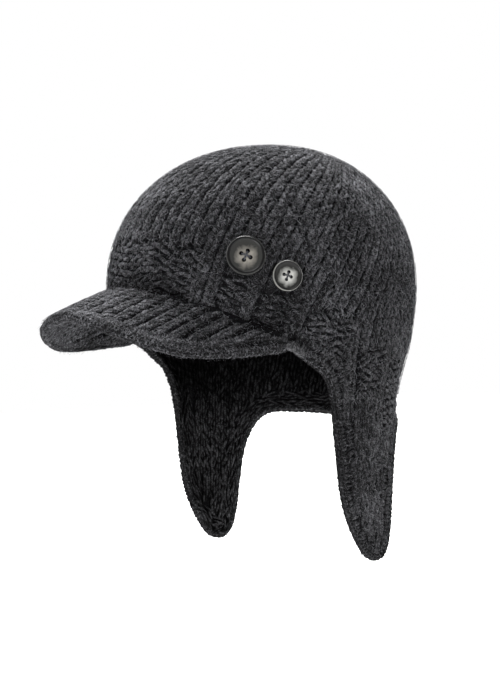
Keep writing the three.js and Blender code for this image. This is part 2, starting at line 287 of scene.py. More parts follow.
# Form of the cap
@dataclass(frozen=True)
class CapForm:
    """The middle of the cap's knitted wall and its lower edge, in millimetres and degrees."""

    wall: float = 5.0
    girth_z: float = -84.0
    top_z: float = 2.5
    dome_length: float = 136.0
    squareness: float = 2.14
    pole_tilt: float = 48.0
    sections: tuple = (
        (-250, 75.4, 90.0, 65.5, 3.00), (-200, 75.8, 96.0, 66.0, 2.80), (-170, 76.0, 101.0, 65.2, 2.55),
        (-152, 76.8, 104.0, 67.2, 2.30), (-135, 78.7, 106.0, 74.4, 2.15), (-120, 80.8, 107.5, 82.8, 2.05),
        (-104, 82.2, 108.3, 87.8, 2.00), (-84, 82.7, 108.3, 90.5, 2.00))
    edge: tuple = (
        (0, -3.8), (14, -5.3), (26, -10.2), (35.5, -13.9), (44.5, -19.7), (52.5, -24.9), (58.5, -28.9),
        (62.3, -32.6), (65.2, -36.8), (70.2, -43.0), (76.2, -51.6), (78.8, -61.5), (80.0, -72.5),
        (81.0, -88.0), (82.1, -106.0), (83.4, -122.0), (85.9, -135.5), (89.4, -146.5), (95.0, -156.2),
        (100.2, -161.4), (106.2, -163.0), (111.4, -160.4), (114.8, -152.6), (116.5, -143.0), (117.5, -133.0),
        (118.5, -121.0), (120.1, -109.0), (122.3, -99.5), (125.8, -90.6), (129.4, -84.9), (133.4, -81.8),
        (138.0, -80.7), (150.0, -80.6), (165.0, -80.9), (180, -81.2))
    flap_ends: tuple = (65.2, 133.4)
    seam: tuple = ((0, 2.6), (14, 1.4), (26, -3.7), (35.4, -7.4), (44.5, -13.3), (52.4, -18.4), (58.1, -21.8),
                   (62.4, -25.9))
    seam_end: float = 62.4
    # length round the girth from the front, and how many columns of stitches lie up to there
    columns_at: tuple = ((0, 0), (41, 6), (74.5, 10), (111, 14), (152.3, 19), (184.3, 23), (286.79, 36))
    columns_lean: float = 28.0      # the columns meet this far behind the top, degrees
    columns_straight: float = 42.0  # and hang straight from this far below the girth

    def on_dome(self, direction: Array) -> Array:
        """Gives the dome's points in given directions.

        Args:
            direction: (..., 3) unit vectors on a ball with its equator at the girth.

        Returns:
            The points in millimetres.
        """
        x, y, z = direction[..., 0], direction[..., 1], direction[..., 2]
        q = self.squareness
        k = (np.hypot(x, y) ** q + np.abs(z) ** q) ** (-1 / q)
        _, half, front, back, _ = self.sections[-1]
        return np.stack([x * k * half, y * k * np.where(y < 0, front, back),
                         self.girth_z + (self.top_z - self.girth_z) * z * k], -1)

    def point(self, angle: Array, height: Array) -> Array:
        """Gives points in the middle of the wall.

        Args:
            angle: degrees round from the front, towards the wearer's left.
            height: length above the girth, up the wall and the dome.

        Returns:
            (n, 3) points in millimetres.
        """
        angle, height = np.broadcast_arrays(np.asarray(angle, float), np.asarray(height, float))
        s, c = np.sin(np.radians(angle)), np.cos(np.radians(angle))
        z = self.girth_z + np.minimum(height, 0)
        half, front, back, p = (monotone([(r[0], r[k]) for r in self.sections])(z) for k in (1, 2, 3, 4))
        rho = (np.abs(s) ** p + np.abs(c) ** p) ** (-1 / p)
        wall = np.stack([half * s * rho, -c * np.where(c > 0, front, back) * rho, z], -1)
        t = np.clip(height / self.dome_length, 0, 1)
        phi, turn = t * math.pi / 2, -math.radians(self.pole_tilt) * smooth(t)
        x, y0, z0 = s * np.cos(phi), -c * np.cos(phi), np.sin(phi)
        y, zz = y0 * np.cos(turn) - z0 * np.sin(turn), y0 * np.sin(turn) + z0 * np.cos(turn)
        return np.where((height <= 0)[..., None], wall, self.on_dome(np.stack([x, y, zz], -1)))

    def column_angle(self, column: float) -> float:
        """Finds the angle at which a column of stitches crosses the girth.

        Args:
            column: its number; whole numbers are the lines between columns.

        Returns:
            Degrees from the front, below 0 on the wearer's right.
        """
        angles = np.linspace(0, 180, 1801)
        girth = self.point(angles, np.zeros(1801))
        run = run_along(girth)
        table = np.array(self.columns_at, float)
        length = np.interp(abs(column), table[:, 1], table[:, 0])
        return float(np.interp(length, run, angles)) * (1 if column >= 0 else -1)

    def track(self, column: float, at: Array) -> tuple[Array, Array]:
        """Follows a column of stitches from low on the wall to where the columns meet on the dome.

        Args:
            column: its number from the front towards the wearer's left, with its share.
            at: lengths along it from the girth, in millimetres.

        Returns:
            The angles (on the dome, that at the girth) and the points.
        """
        angle = self.column_angle(column)
        start = np.array([math.sin(math.radians(angle)), -math.cos(math.radians(angle)), 0.0])
        pole = np.array([0.0, math.sin(math.radians(self.columns_lean)),
                         math.cos(math.radians(self.columns_lean))])
        towards = unit(pole - start * (start @ pole))
        turn = np.linspace(0, math.acos(start @ pole) - 0.02, 500)[:, None]
        rising = self.on_dome(start * np.cos(turn) + towards * np.sin(turn))
        step = rising[1] - rising[0]
        round_ = (self.point(np.array([angle + 0.3]), np.zeros(1))
                  - self.point(np.array([angle - 0.3]), np.zeros(1)))[0]
        per_degree = np.linalg.norm(round_) / 0.6
        slant = (step @ unit(round_)) / step[2] / per_degree
        heights = np.arange(0, 175, 0.5)
        fading = smooth(np.clip(1 - heights / self.columns_straight, 0, 1))
        angles = angle - slant * np.concatenate([[0], np.cumsum(fading[:-1])]) * 0.5
        falling = self.point(angles, -heights)
        points = np.vstack([falling[::-1], rising[1:]])
        turns = np.concatenate([angles[::-1], np.full(len(rising) - 1, angle)])
        run = run_along(points)
        run -= run[len(falling) - 1]
        return np.interp(at, run, turns), np.stack([np.interp(at, run, points[:, i]) for i in range(3)], -1)

    def axes(self, angle: Array, height: Array) -> tuple[Array, Array, Array]:
        """Gives the wall's own directions.

        Args:
            angle: degrees round from the front.
            height: length above the girth.

        Returns:
            Unit vectors round the cap, up its columns of stitches, and out of its wall.
        """
        h = np.minimum(height, self.dome_length - 1.5)
        e = 0.4
        round_ = unit(self.point(np.asarray(angle) + e, h) - self.point(np.asarray(angle) - e, h))
        up = unit(self.point(angle, h + e) - self.point(angle, h - e))
        return round_, up, unit(np.cross(round_, up))

    def on_wall(self, angle: Array, height: Array, out: Array | float) -> Array:
        """Gives points set off from the wall's middle by out millimetres."""
        return self.point(angle, height) + self.axes(angle, height)[2] * np.asarray(out, float)[..., None]

    def edge_line(self, count: int) -> Array:
        """Spaces points evenly along one half of the lower edge.

        Args:
            count: the number of steps.

        Returns:
            (count + 1, 2) angles and heights from the front to the nape.
        """
        pts = np.array(self.edge, float)
        run = np.concatenate([[0], np.cumsum(np.hypot(np.diff(pts[:, 0]) * 1.5, np.diff(pts[:, 1])))])
        fine = np.linspace(0, run[-1], 4000)
        a, h = monotone(list(zip(run, pts[:, 0])))(fine), monotone(list(zip(run, pts[:, 1])))(fine)
        real = run_along(self.point(a, h))
        at = np.linspace(0, real[-1], count + 1)
        return np.stack([np.interp(at, real, a), np.interp(at, real, h)], -1)

    def whole_edge(self, half: int) -> Array:
        """Joins both halves of the lower edge into one closed line.

        Args:
            half: steps along one half.

        Returns:
            (2 * half, 2) angles and heights.
        """
        one = self.edge_line(half)
        other = one[1:-1][::-1].copy()
        other[:, 0] = 360 - other[:, 0]
        return np.vstack([one, other])

    def inward(self, line: Array) -> tuple[Array, Array]:
        """Finds the way into the cloth from a closed line on the wall.

        Args:
            line: (n, 2) angles and heights in order.

        Returns:
            Degrees and millimetres of height for each millimetre into the cloth.
        """
        ahead, behind = np.roll(line, -1, 0), np.roll(line, 1, 0)
        per = np.linalg.norm(self.point(line[:, 0] + 0.5, line[:, 1])
                             - self.point(line[:, 0] - 0.5, line[:, 1]), axis=1)
        da = ((ahead[:, 0] - behind[:, 0]) % 360) * per
        dh = ahead[:, 1] - behind[:, 1]
        length = np.hypot(da, dh)
        return -dh / length / per, da / length


FORM = CapForm()


# Finishes
@dataclass(frozen=True)
class WoolFinish:
    """Brushed chunky wool, spun from charcoal and pale fibres: matte, marled along its twist, furry, with
    painted shade on each strand's flanks and ends.
    """

    name: str
    dark: str = "0c0c0d"
    middle: str = "272728"
    pale: str = "6c6c6f"
    # colour of the painted shade on the strands' flanks and ends, between their neighbours
    gap_shade: str = "060606"
    # end_tone sets how much of the open colour the strand's ends keep under the painted shade
    end_tone: float = 0.5  # how much of the tone is left at the strand's ends
    # heights across the strand, in its thicknesses, between which the painted shade on its flanks gives way
    # to its open colour
    gap_shade_from: float = 0.18
    gap_shade_to: float = 0.78
    sheen: float = 0.05
    specular: float = 0.035
    # painted shade by height: two heights in metres, and how much of the tone is left at each
    height_shade: tuple[float, float, float, float] | None = None
    cloud_mm: float = 30.0   # broad uneven patches
    twist: float = 4.5       # turns of the plies round the strand, in radians along it
    fleck_mm: float = 1.3    # clumps of pale fibre
    fibre_mm: float = 0.75    # single fibres, drawn a few times as coarse as the real ones so that they show

    def build(self) -> bpy.types.Material:
        """Builds the wool material.

        Returns:
            The material, reading Object coordinates, each strand's own tone and its own shape (yarn).
        """
        mat = bpy.data.materials.new(self.name)
        mat.use_nodes = True
        t = mat.node_tree
        t.nodes.clear()
        node = partial(add_node, t)
        place = node("ShaderNodeTexCoord").outputs["Object"]
        tone = node("ShaderNodeAttribute", {"attribute_name": "tone"}).outputs["Fac"]
        yarn = node("ShaderNodeAttribute", {"attribute_name": "yarn"}).outputs["Vector"]
        # plies: noise drawn out along the strand and turned round it
        along = node("ShaderNodeSeparateXYZ", None, {0: yarn}).outputs[2]
        turn = node("ShaderNodeMath", {"operation": "MULTIPLY", "in:1": self.twist}, {0: along})
        turned = node("ShaderNodeVectorRotate", {"rotation_type": "Z_AXIS"}, {"Vector": yarn, "Angle": turn})
        drawn = node("ShaderNodeVectorMath", {"operation": "MULTIPLY", "in:1": (6.0, 6.0, 2.4)}, {0: turned})
        own = node("ShaderNodeMath", {"operation": "MULTIPLY", "in:1": 61.0}, {0: tone})
        shifted = node("ShaderNodeVectorMath", {"operation": "ADD"}, {0: drawn, 1: own})
        ply = node("ShaderNodeTexNoise", {"in:Scale": 1.0, "in:Detail": 3.0, "in:Roughness": 0.65},
                   {"Vector": shifted})
        # one unit of noise scale is one pattern per metre, so 1000 / mm
        fleck = node("ShaderNodeTexNoise", {"in:Scale": 1000 / self.fleck_mm, "in:Detail": 2.0,
                                            "in:Roughness": 0.6, "in:Distortion": 0.8}, {"Vector": place})
        fibre = node("ShaderNodeTexNoise", {"in:Scale": 1000 / self.fibre_mm, "in:Detail": 2.0,
                                            "in:Roughness": 0.7, "in:Distortion": 1.6}, {"Vector": place})
        cloud = node("ShaderNodeTexNoise", {"in:Scale": 1000 / self.cloud_mm, "in:Detail": 2.0},
                     {"Vector": place})
        total = ply
        for source, share in ((fleck, 0.60), (fibre, 0.85), (cloud, 0.30), (tone, 0.11)):
            total = node("ShaderNodeMath", {"operation": "MULTIPLY_ADD", "in:1": share},
                         {0: source, 2: total})
        # painted shade: the strand's flanks and ends, which lie low between its neighbours, are darkened
        # towards the gap colour
        height = node("ShaderNodeSeparateXYZ", None, {0: yarn})
        gap_shade = node("ShaderNodeMapRange",
                    {"interpolation_type": "SMOOTHSTEP", "in:From Min": self.gap_shade_from,
                     "in:From Max": self.gap_shade_to, "in:To Min": 0.0, "in:To Max": 1.0}, {"Value": height})
        span = node("ShaderNodeMath", {"operation": "ABSOLUTE"}, {0: along})
        open_ = node("ShaderNodeMapRange",
                     {"interpolation_type": "SMOOTHSTEP", "in:From Min": 0.27, "in:From Max": 0.50,
                      "in:To Min": 1.0, "in:To Max": self.end_tone}, {"Value": span})
        gap_shade = node("ShaderNodeMath", {"operation": "MULTIPLY"}, {0: gap_shade, 1: open_})
        # the sum lies round 0.5 * (1 + 0.6 + 0.85 + 0.3) = 1.37, and is stretched over the ramp
        spread = node("ShaderNodeMapRange", {"in:From Min": 1.08, "in:From Max": 1.68}, {"Value": total})
        ramp = node("ShaderNodeValToRGB", None, {"Fac": spread})
        stops = ramp.color_ramp.elements
        stops[0].position, stops[0].color = 0.10, linear(self.dark)
        stops[1].position, stops[1].color = 0.50, linear(self.middle)
        stops.new(0.92).color = linear(self.pale)
        shaded = node("ShaderNodeMix", {"data_type": "RGBA", "in:6": linear(self.gap_shade)},
                      {0: gap_shade, 7: ramp}).outputs[2]
        # painted shade: the colour is scaled down between two heights, where less light reaches
        if self.height_shade:
            low, high, at_low, at_high = self.height_shade
            upright = node("ShaderNodeSeparateXYZ", None, {0: place}).outputs[2]
            share = node("ShaderNodeMapRange",
                         {"interpolation_type": "SMOOTHSTEP", "in:From Min": low, "in:From Max": high,
                          "in:To Min": at_low, "in:To Max": at_high}, {"Value": upright})
            shaded = node("ShaderNodeVectorMath", {"operation": "SCALE"}, {0: shaded, "Scale": share})
        rough = node("ShaderNodeBump", {"in:Strength": 0.8, "in:Distance": 0.0005}, {"Height": fibre})
        plies = node("ShaderNodeBump", {"in:Strength": 0.9, "in:Distance": 0.0009},
                     {"Height": ply, "Normal": rough})
        shader = node("ShaderNodeBsdfPrincipled", {
            "in:Roughness": 0.95, "in:Sheen Weight": self.sheen, "in:Sheen Roughness": 0.5,
            "in:Sheen Tint": linear("a0a1a4"), "in:Specular IOR Level": self.specular, "in:IOR": 1.45},
            {"Base Color": shaded, "Normal": plies})
        node("ShaderNodeOutputMaterial", None, {"Surface": shader})
        return mat


@dataclass(frozen=True)
class HornFinish:
    """Polished horn-look resin, cast in cloudy layers and turned: glossy, its pale middle partly real
    clouding and partly a painted reflection, with a painted highlight round the edge.
    """

    name: str
    rim: str
    body: str
    pale: str
    # colour of the painted highlight along the outer edge
    edge: str
    # where the painted reflection, a pale patch on the face, is centred, and how far it reaches
    painted_reflection_centre: tuple[float, float] = (0.0, 0.0)
    painted_reflection_reach_mm: float = 7.0
    clouds_per_mm: float = 0.22  # one cloud each 4.5 mm
    marks_per_mm: float = 5.0    # polishing marks, 0.2 mm apart

    def build(self) -> bpy.types.Material:
        """Builds the resin material.

        Returns:
            The material, reading the button's own plan in its face attribute.
        """
        mat = bpy.data.materials.new(self.name)
        mat.use_nodes = True
        t = mat.node_tree
        t.nodes.clear()
        node = partial(add_node, t)
        plan = node("ShaderNodeAttribute", {"attribute_name": "face_mm"})
        cloud = node("ShaderNodeTexNoise",
                     {"in:Scale": self.clouds_per_mm, "in:Detail": 3.0, "in:Roughness": 0.55,
                      "in:Distortion": 0.6}, {"Vector": plan.outputs["Vector"]})
        # painted reflection: the face turns pale near one off-centre point, mixed with the real clouds
        centred = node("ShaderNodeVectorMath", {"operation": "SUBTRACT", "in:1": (*self.painted_reflection_centre, 0.0)},
                       {0: plan.outputs["Vector"]})
        reach = node("ShaderNodeVectorMath", {"operation": "LENGTH"}, {0: centred})
        share = node("ShaderNodeMath", {"operation": "DIVIDE", "in:1": self.painted_reflection_reach_mm},
                     {0: reach.outputs["Value"]})
        cloudy = node("ShaderNodeMath", {"operation": "MULTIPLY_ADD", "in:1": 0.5}, {0: cloud, 2: share})
        ramp = node("ShaderNodeValToRGB", None, {"Fac": cloudy})
        stops = ramp.color_ramp.elements
        stops[0].position, stops[0].color = 0.32, linear(self.pale)
        stops[1].position, stops[1].color = 0.95, linear(self.body)
        rim = node("ShaderNodeAttribute", {"attribute_name": "rim"})
        rimmed = node("ShaderNodeMix", {"data_type": "RGBA", "in:7": linear(self.rim)},
                      {0: rim.outputs["Fac"], 6: ramp})
        # painted highlight: the outermost half millimetre takes the pale edge colour
        edge = node("ShaderNodeAttribute", {"attribute_name": "edge"})
        colour = node("ShaderNodeMix", {"data_type": "RGBA", "in:7": linear(self.edge)},
                      {0: edge.outputs["Fac"], 6: rimmed.outputs[2]})
        scratch = node("ShaderNodeTexNoise", {"in:Scale": self.marks_per_mm, "in:Detail": 2.0},
                       {"Vector": plan.outputs["Vector"]})
        bump = node("ShaderNodeBump", {"in:Strength": 0.12, "in:Distance": 0.0002}, {"Height": scratch})
        shader = node("ShaderNodeBsdfPrincipled", {
            "in:Roughness": 0.22, "in:IOR": 1.5, "in:Specular IOR Level": 0.12},
            {"Base Color": colour.outputs[2], "Normal": bump})
        node("ShaderNodeOutputMaterial", None, {"Surface": shader})
        return mat


@dataclass(frozen=True)
class ThreadFinish:
    """Polyester sewing thread: fine twisted plies with a faint gloss."""

    name: str
    colour: str = "2a2c34"
    ply_mm: float = 0.35

    def build(self) -> bpy.types.Material:
        """Builds the thread material.

        Returns:
            The material, reading Object coordinates.
        """
        mat = bpy.data.materials.new(self.name)
        mat.use_nodes = True
        t = mat.node_tree
        t.nodes.clear()
        node = partial(add_node, t)
        where = node("ShaderNodeTexCoord")
        ply = node("ShaderNodeTexNoise", {"in:Scale": 1000 / self.ply_mm / 2, "in:Detail": 1.0},
                   {"Vector": where.outputs["Object"]})
        ramp = node("ShaderNodeValToRGB", None, {"Fac": ply})
        stops = ramp.color_ramp.elements
        stops[0].position, stops[0].color = 0.35, linear("121318")
        stops[1].position, stops[1].color = 0.7, linear(self.colour)
        bump = node("ShaderNodeBump", {"in:Strength": 0.6, "in:Distance": 0.0002}, {"Height": ply})
        shader = node("ShaderNodeBsdfPrincipled", {"in:Roughness": 0.6, "in:IOR": 1.5},
                      {"Base Color": ramp, "Normal": bump})
        node("ShaderNodeOutputMaterial", None, {"Surface": shader})
        return mat


# Geometry node trees
def new_tree(name: str, sockets: Sequence[tuple[str, str, object]]) -> bpy.types.NodeTree:
    """Starts a geometry node tree.

    Args:
        name: the tree's name.
        sockets: named inputs after the geometry: name, socket type and default value.

    Returns:
        The tree, with a Geometry input and a Geometry output.
    """
    tree = bpy.data.node_groups.new(name, "GeometryNodeTree")
    tree.interface.new_socket("Geometry", in_out="INPUT", socket_type="NodeSocketGeometry")
    for label, kind, value in sockets:
        socket = tree.interface.new_socket(label, in_out="INPUT", socket_type=kind)
        if value is not None:
            socket.default_value = value
    tree.interface.new_socket("Geometry", in_out="OUTPUT", socket_type="NodeSocketGeometry")
    return tree


def ended(tree: bpy.types.NodeTree, laid: bpy.types.Node, given: bpy.types.bpy_prop_collection, low: float,
          high: float) -> bpy.types.NodeTree:
    """Ends a tree: gives each instance its own tone, makes it real and dresses it.

    Args:
        tree: the tree.
        laid: the node that lays the instances.
        given: the tree's inputs, of which Seed and Material are read.
        low: least tone.
        high: greatest tone.

    Returns:
        The same tree.
    """
    node = partial(add_node, tree)
    tone = node("FunctionNodeRandomValue", {"data_type": "FLOAT", "in:2": low, "in:3": high},
                {"Seed": given["Seed"]})
    toned = node("GeometryNodeStoreNamedAttribute",
                 {"data_type": "FLOAT", "domain": "INSTANCE", "in:Name": "tone"},
                 {"Geometry": laid, "Value": tone.outputs[1]})
    real = node("GeometryNodeRealizeInstances", None, {"Geometry": toned})
    dressed = node("GeometryNodeSetMaterial", None, {"Geometry": real, "Material": given["Material"]})
    node("NodeGroupOutput", None, {"Geometry": dressed})
    return tree


def strand_tree() -> bpy.types.NodeTree:
    """Builds the tree that lays one plump strand of yarn on every point it is given.

    The points carry the strand's direction (strand_dir), the way out of the cloth (strand_out) and
    its thickness, width and length (strand_size, metres).

    Returns:
        The tree.
    """
    tree = new_tree("lay_yarn_strands",
                    [("Strand Sides", "NodeSocketInt", 6), ("Strand Rings", "NodeSocketInt", 6),
                     ("End Width", "NodeSocketFloat", 0.32), ("Bow", "NodeSocketFloat", 0.42),
                     ("Size Spread", "NodeSocketFloat", 0.09), ("Turn Spread", "NodeSocketFloat", 0.09),
                     ("Seed", "NodeSocketInt", 7), ("Material", "NodeSocketMaterial", None)])
    node = partial(add_node, tree)
    o = node("NodeGroupInput").outputs
    # one strand of length one: it bows out of the cloth and narrows at both ends
    line = node("GeometryNodeCurvePrimitiveLine", {"in:Start": (0, 0, -0.5), "in:End": (0, 0, 0.5)})
    fine = node("GeometryNodeResampleCurve", None, {"Curve": line, "Count": o["Strand Rings"]})
    along = node("GeometryNodeSplineParameter")
    rest = node("ShaderNodeMath", {"operation": "SUBTRACT", "in:0": 1.0}, {1: along.outputs["Factor"]})
    both = node("ShaderNodeMath", {"operation": "MULTIPLY"}, {0: along.outputs["Factor"], 1: rest})
    hump = node("ShaderNodeMath", {"operation": "MULTIPLY", "in:1": 4.0}, {0: both})
    bowed = node("ShaderNodeMath", {"operation": "MULTIPLY"}, {0: hump, 1: o["Bow"]})
    lift = node("ShaderNodeCombineXYZ", None, {"X": bowed})
    moved = node("GeometryNodeSetPosition", None, {"Geometry": fine, "Offset": lift})
    root = node("ShaderNodeMath", {"operation": "POWER", "in:1": 0.5}, {0: hump})
    span = node("ShaderNodeMath", {"operation": "SUBTRACT", "in:0": 1.0}, {1: o["End Width"]})
    wide = node("ShaderNodeMath", {"operation": "MULTIPLY_ADD"}, {0: root, 1: span, 2: o["End Width"]})
    radius = node("GeometryNodeSetCurveRadius", None, {"Curve": moved, "Radius": wide})
    ring = node("GeometryNodeCurvePrimitiveCircle", {"in:Radius": 0.5}, {"Resolution": o["Strand Sides"]})
    strand = node("GeometryNodeCurveToMesh", {"in:Fill Caps": True}, {"Curve": radius, "Profile Curve": ring})
    here = node("GeometryNodeInputPosition")
    marked = node("GeometryNodeStoreNamedAttribute",
                  {"data_type": "FLOAT_VECTOR", "domain": "POINT", "in:Name": "yarn"},
                  {"Geometry": strand, "Value": here})
    round_ = node("GeometryNodeSetShadeSmooth", None, {"Geometry": marked})
    # its place and turn on each point
    way = node("GeometryNodeInputNamedAttribute", {"data_type": "FLOAT_VECTOR", "in:Name": "strand_dir"})
    out = node("GeometryNodeInputNamedAttribute", {"data_type": "FLOAT_VECTOR", "in:Name": "strand_out"})
    size = node("GeometryNodeInputNamedAttribute", {"data_type": "FLOAT_VECTOR", "in:Name": "strand_size"})
    first = node("FunctionNodeAlignRotationToVector", {"axis": "Z"}, {"Vector": way.outputs["Attribute"]})
    second = node("FunctionNodeAlignRotationToVector", {"axis": "X", "pivot_axis": "Z"},
                  {"Rotation": first, "Vector": out.outputs["Attribute"]})
    less = node("ShaderNodeMath", {"operation": "MULTIPLY", "in:1": -1.0}, {0: o["Turn Spread"]})
    turn_low = node("ShaderNodeCombineXYZ", None, {"X": less, "Y": less, "Z": less})
    turn_high = node("ShaderNodeCombineXYZ", None,
                     {"X": o["Turn Spread"], "Y": o["Turn Spread"], "Z": o["Turn Spread"]})
    turn = node("FunctionNodeRandomValue", {"data_type": "FLOAT_VECTOR"},
                {"Min": turn_low, "Max": turn_high, "Seed": o["Seed"]})
    turned = node("FunctionNodeRotateRotation", {"rotation_space": "LOCAL"},
                  {"Rotation": second, "Rotate By": turn})
    small = node("ShaderNodeMath", {"operation": "SUBTRACT", "in:0": 1.0}, {1: o["Size Spread"]})
    big = node("ShaderNodeMath", {"operation": "ADD", "in:0": 1.0}, {1: o["Size Spread"]})
    grow = node("FunctionNodeRandomValue", {"data_type": "FLOAT"}, {2: small, 3: big, "Seed": o["Seed"]})
    scaled = node("ShaderNodeVectorMath", {"operation": "SCALE"},
                  {0: size.outputs["Attribute"], "Scale": grow.outputs[1]})
    laid = node("GeometryNodeInstanceOnPoints", None,
                {"Points": o["Geometry"], "Instance": round_, "Rotation": turned, "Scale": scaled})
    return ended(tree, laid, o, -0.5, 0.5)


def fibre_tree() -> bpy.types.NodeTree:
    """Builds the tree that strews short bent wool fibres flat over a surface.

    Returns:
        The tree.
    """
    tree = new_tree("strew_wool_fibres",
                    [("Density", "NodeSocketFloat", 100000.0), ("Length", "NodeSocketFloat", 0.0028),
                     ("Thickness", "NodeSocketFloat", 0.00006), ("Lift", "NodeSocketFloat", 0.0002),
                     ("Bend", "NodeSocketFloat", 0.30), ("Rise", "NodeSocketFloat", 0.12),
                     ("Seed", "NodeSocketInt", 3), ("Material", "NodeSocketMaterial", None)])
    node = partial(add_node, tree)
    o = node("NodeGroupInput").outputs
    fluffy = node("GeometryNodeInputNamedAttribute", {"data_type": "FLOAT", "in:Name": "fluffy"})
    dense = node("ShaderNodeMath", {"operation": "MULTIPLY"}, {0: o["Density"], 1: fluffy})
    spots = node("GeometryNodeDistributePointsOnFaces", {"distribute_method": "RANDOM"},
                 {"Mesh": o["Geometry"], "Density": dense, "Seed": o["Seed"]})
    arc = node("GeometryNodeCurveQuadraticBezier",
               {"in:Resolution": 2, "in:Start": (-0.5, 0, 0), "in:End": (0.5, 0, 0)})
    middle = node("ShaderNodeCombineXYZ", {"in:Z": 0.1}, {"Y": o["Bend"]})
    tree.links.new(middle.outputs[0], arc.inputs["Middle"])
    slim = node("ShaderNodeMath", {"operation": "DIVIDE"}, {0: o["Thickness"], 1: o["Length"]})
    ring = node("GeometryNodeCurvePrimitiveCircle", {"in:Resolution": 3}, {"Radius": slim})
    hair = node("GeometryNodeCurveToMesh", {"in:Fill Caps": True}, {"Curve": arc, "Profile Curve": ring})
    flat = node("FunctionNodeAlignRotationToVector", {"axis": "Z"}, {"Vector": spots.outputs["Normal"]})
    low = node("ShaderNodeMath", {"operation": "MULTIPLY", "in:1": -1.0}, {0: o["Rise"]})
    spin_low = node("ShaderNodeCombineXYZ", {"in:Z": 0.0}, {"X": low, "Y": low})
    spin_high = node("ShaderNodeCombineXYZ", {"in:Z": 2 * math.pi}, {"X": o["Rise"], "Y": o["Rise"]})
    spin = node("FunctionNodeRandomValue", {"data_type": "FLOAT_VECTOR"},
                {"Min": spin_low, "Max": spin_high, "Seed": o["Seed"]})
    spun = node("FunctionNodeRotateRotation", {"rotation_space": "LOCAL"},
                {"Rotation": flat, "Rotate By": spin})
    grow = node("FunctionNodeRandomValue", {"data_type": "FLOAT", "in:2": 0.5, "in:3": 1.25},
                {"Seed": o["Seed"]})
    length = node("ShaderNodeMath", {"operation": "MULTIPLY"}, {0: grow.outputs[1], 1: o["Length"]})
    raised = node("ShaderNodeVectorMath", {"operation": "SCALE"},
                  {0: spots.outputs["Normal"], "Scale": o["Lift"]})
    up = node("GeometryNodeSetPosition", None, {"Geometry": spots.outputs["Points"], "Offset": raised})
    laid = node("GeometryNodeInstanceOnPoints", None,
                {"Points": up, "Instance": hair, "Rotation": spun, "Scale": length})
    return ended(tree, laid, o, -0.2, 1.0)


# Strands of knitting
class Stitch(Enum):
    """How a stitch shows on the side that is looked at."""

    KNIT = "two legs of a V, leaning apart upwards"
    PURL = "two arcs lying across the column"
    SEED = "four small arcs lying across the column"
    RIB = "three narrow upright strands"


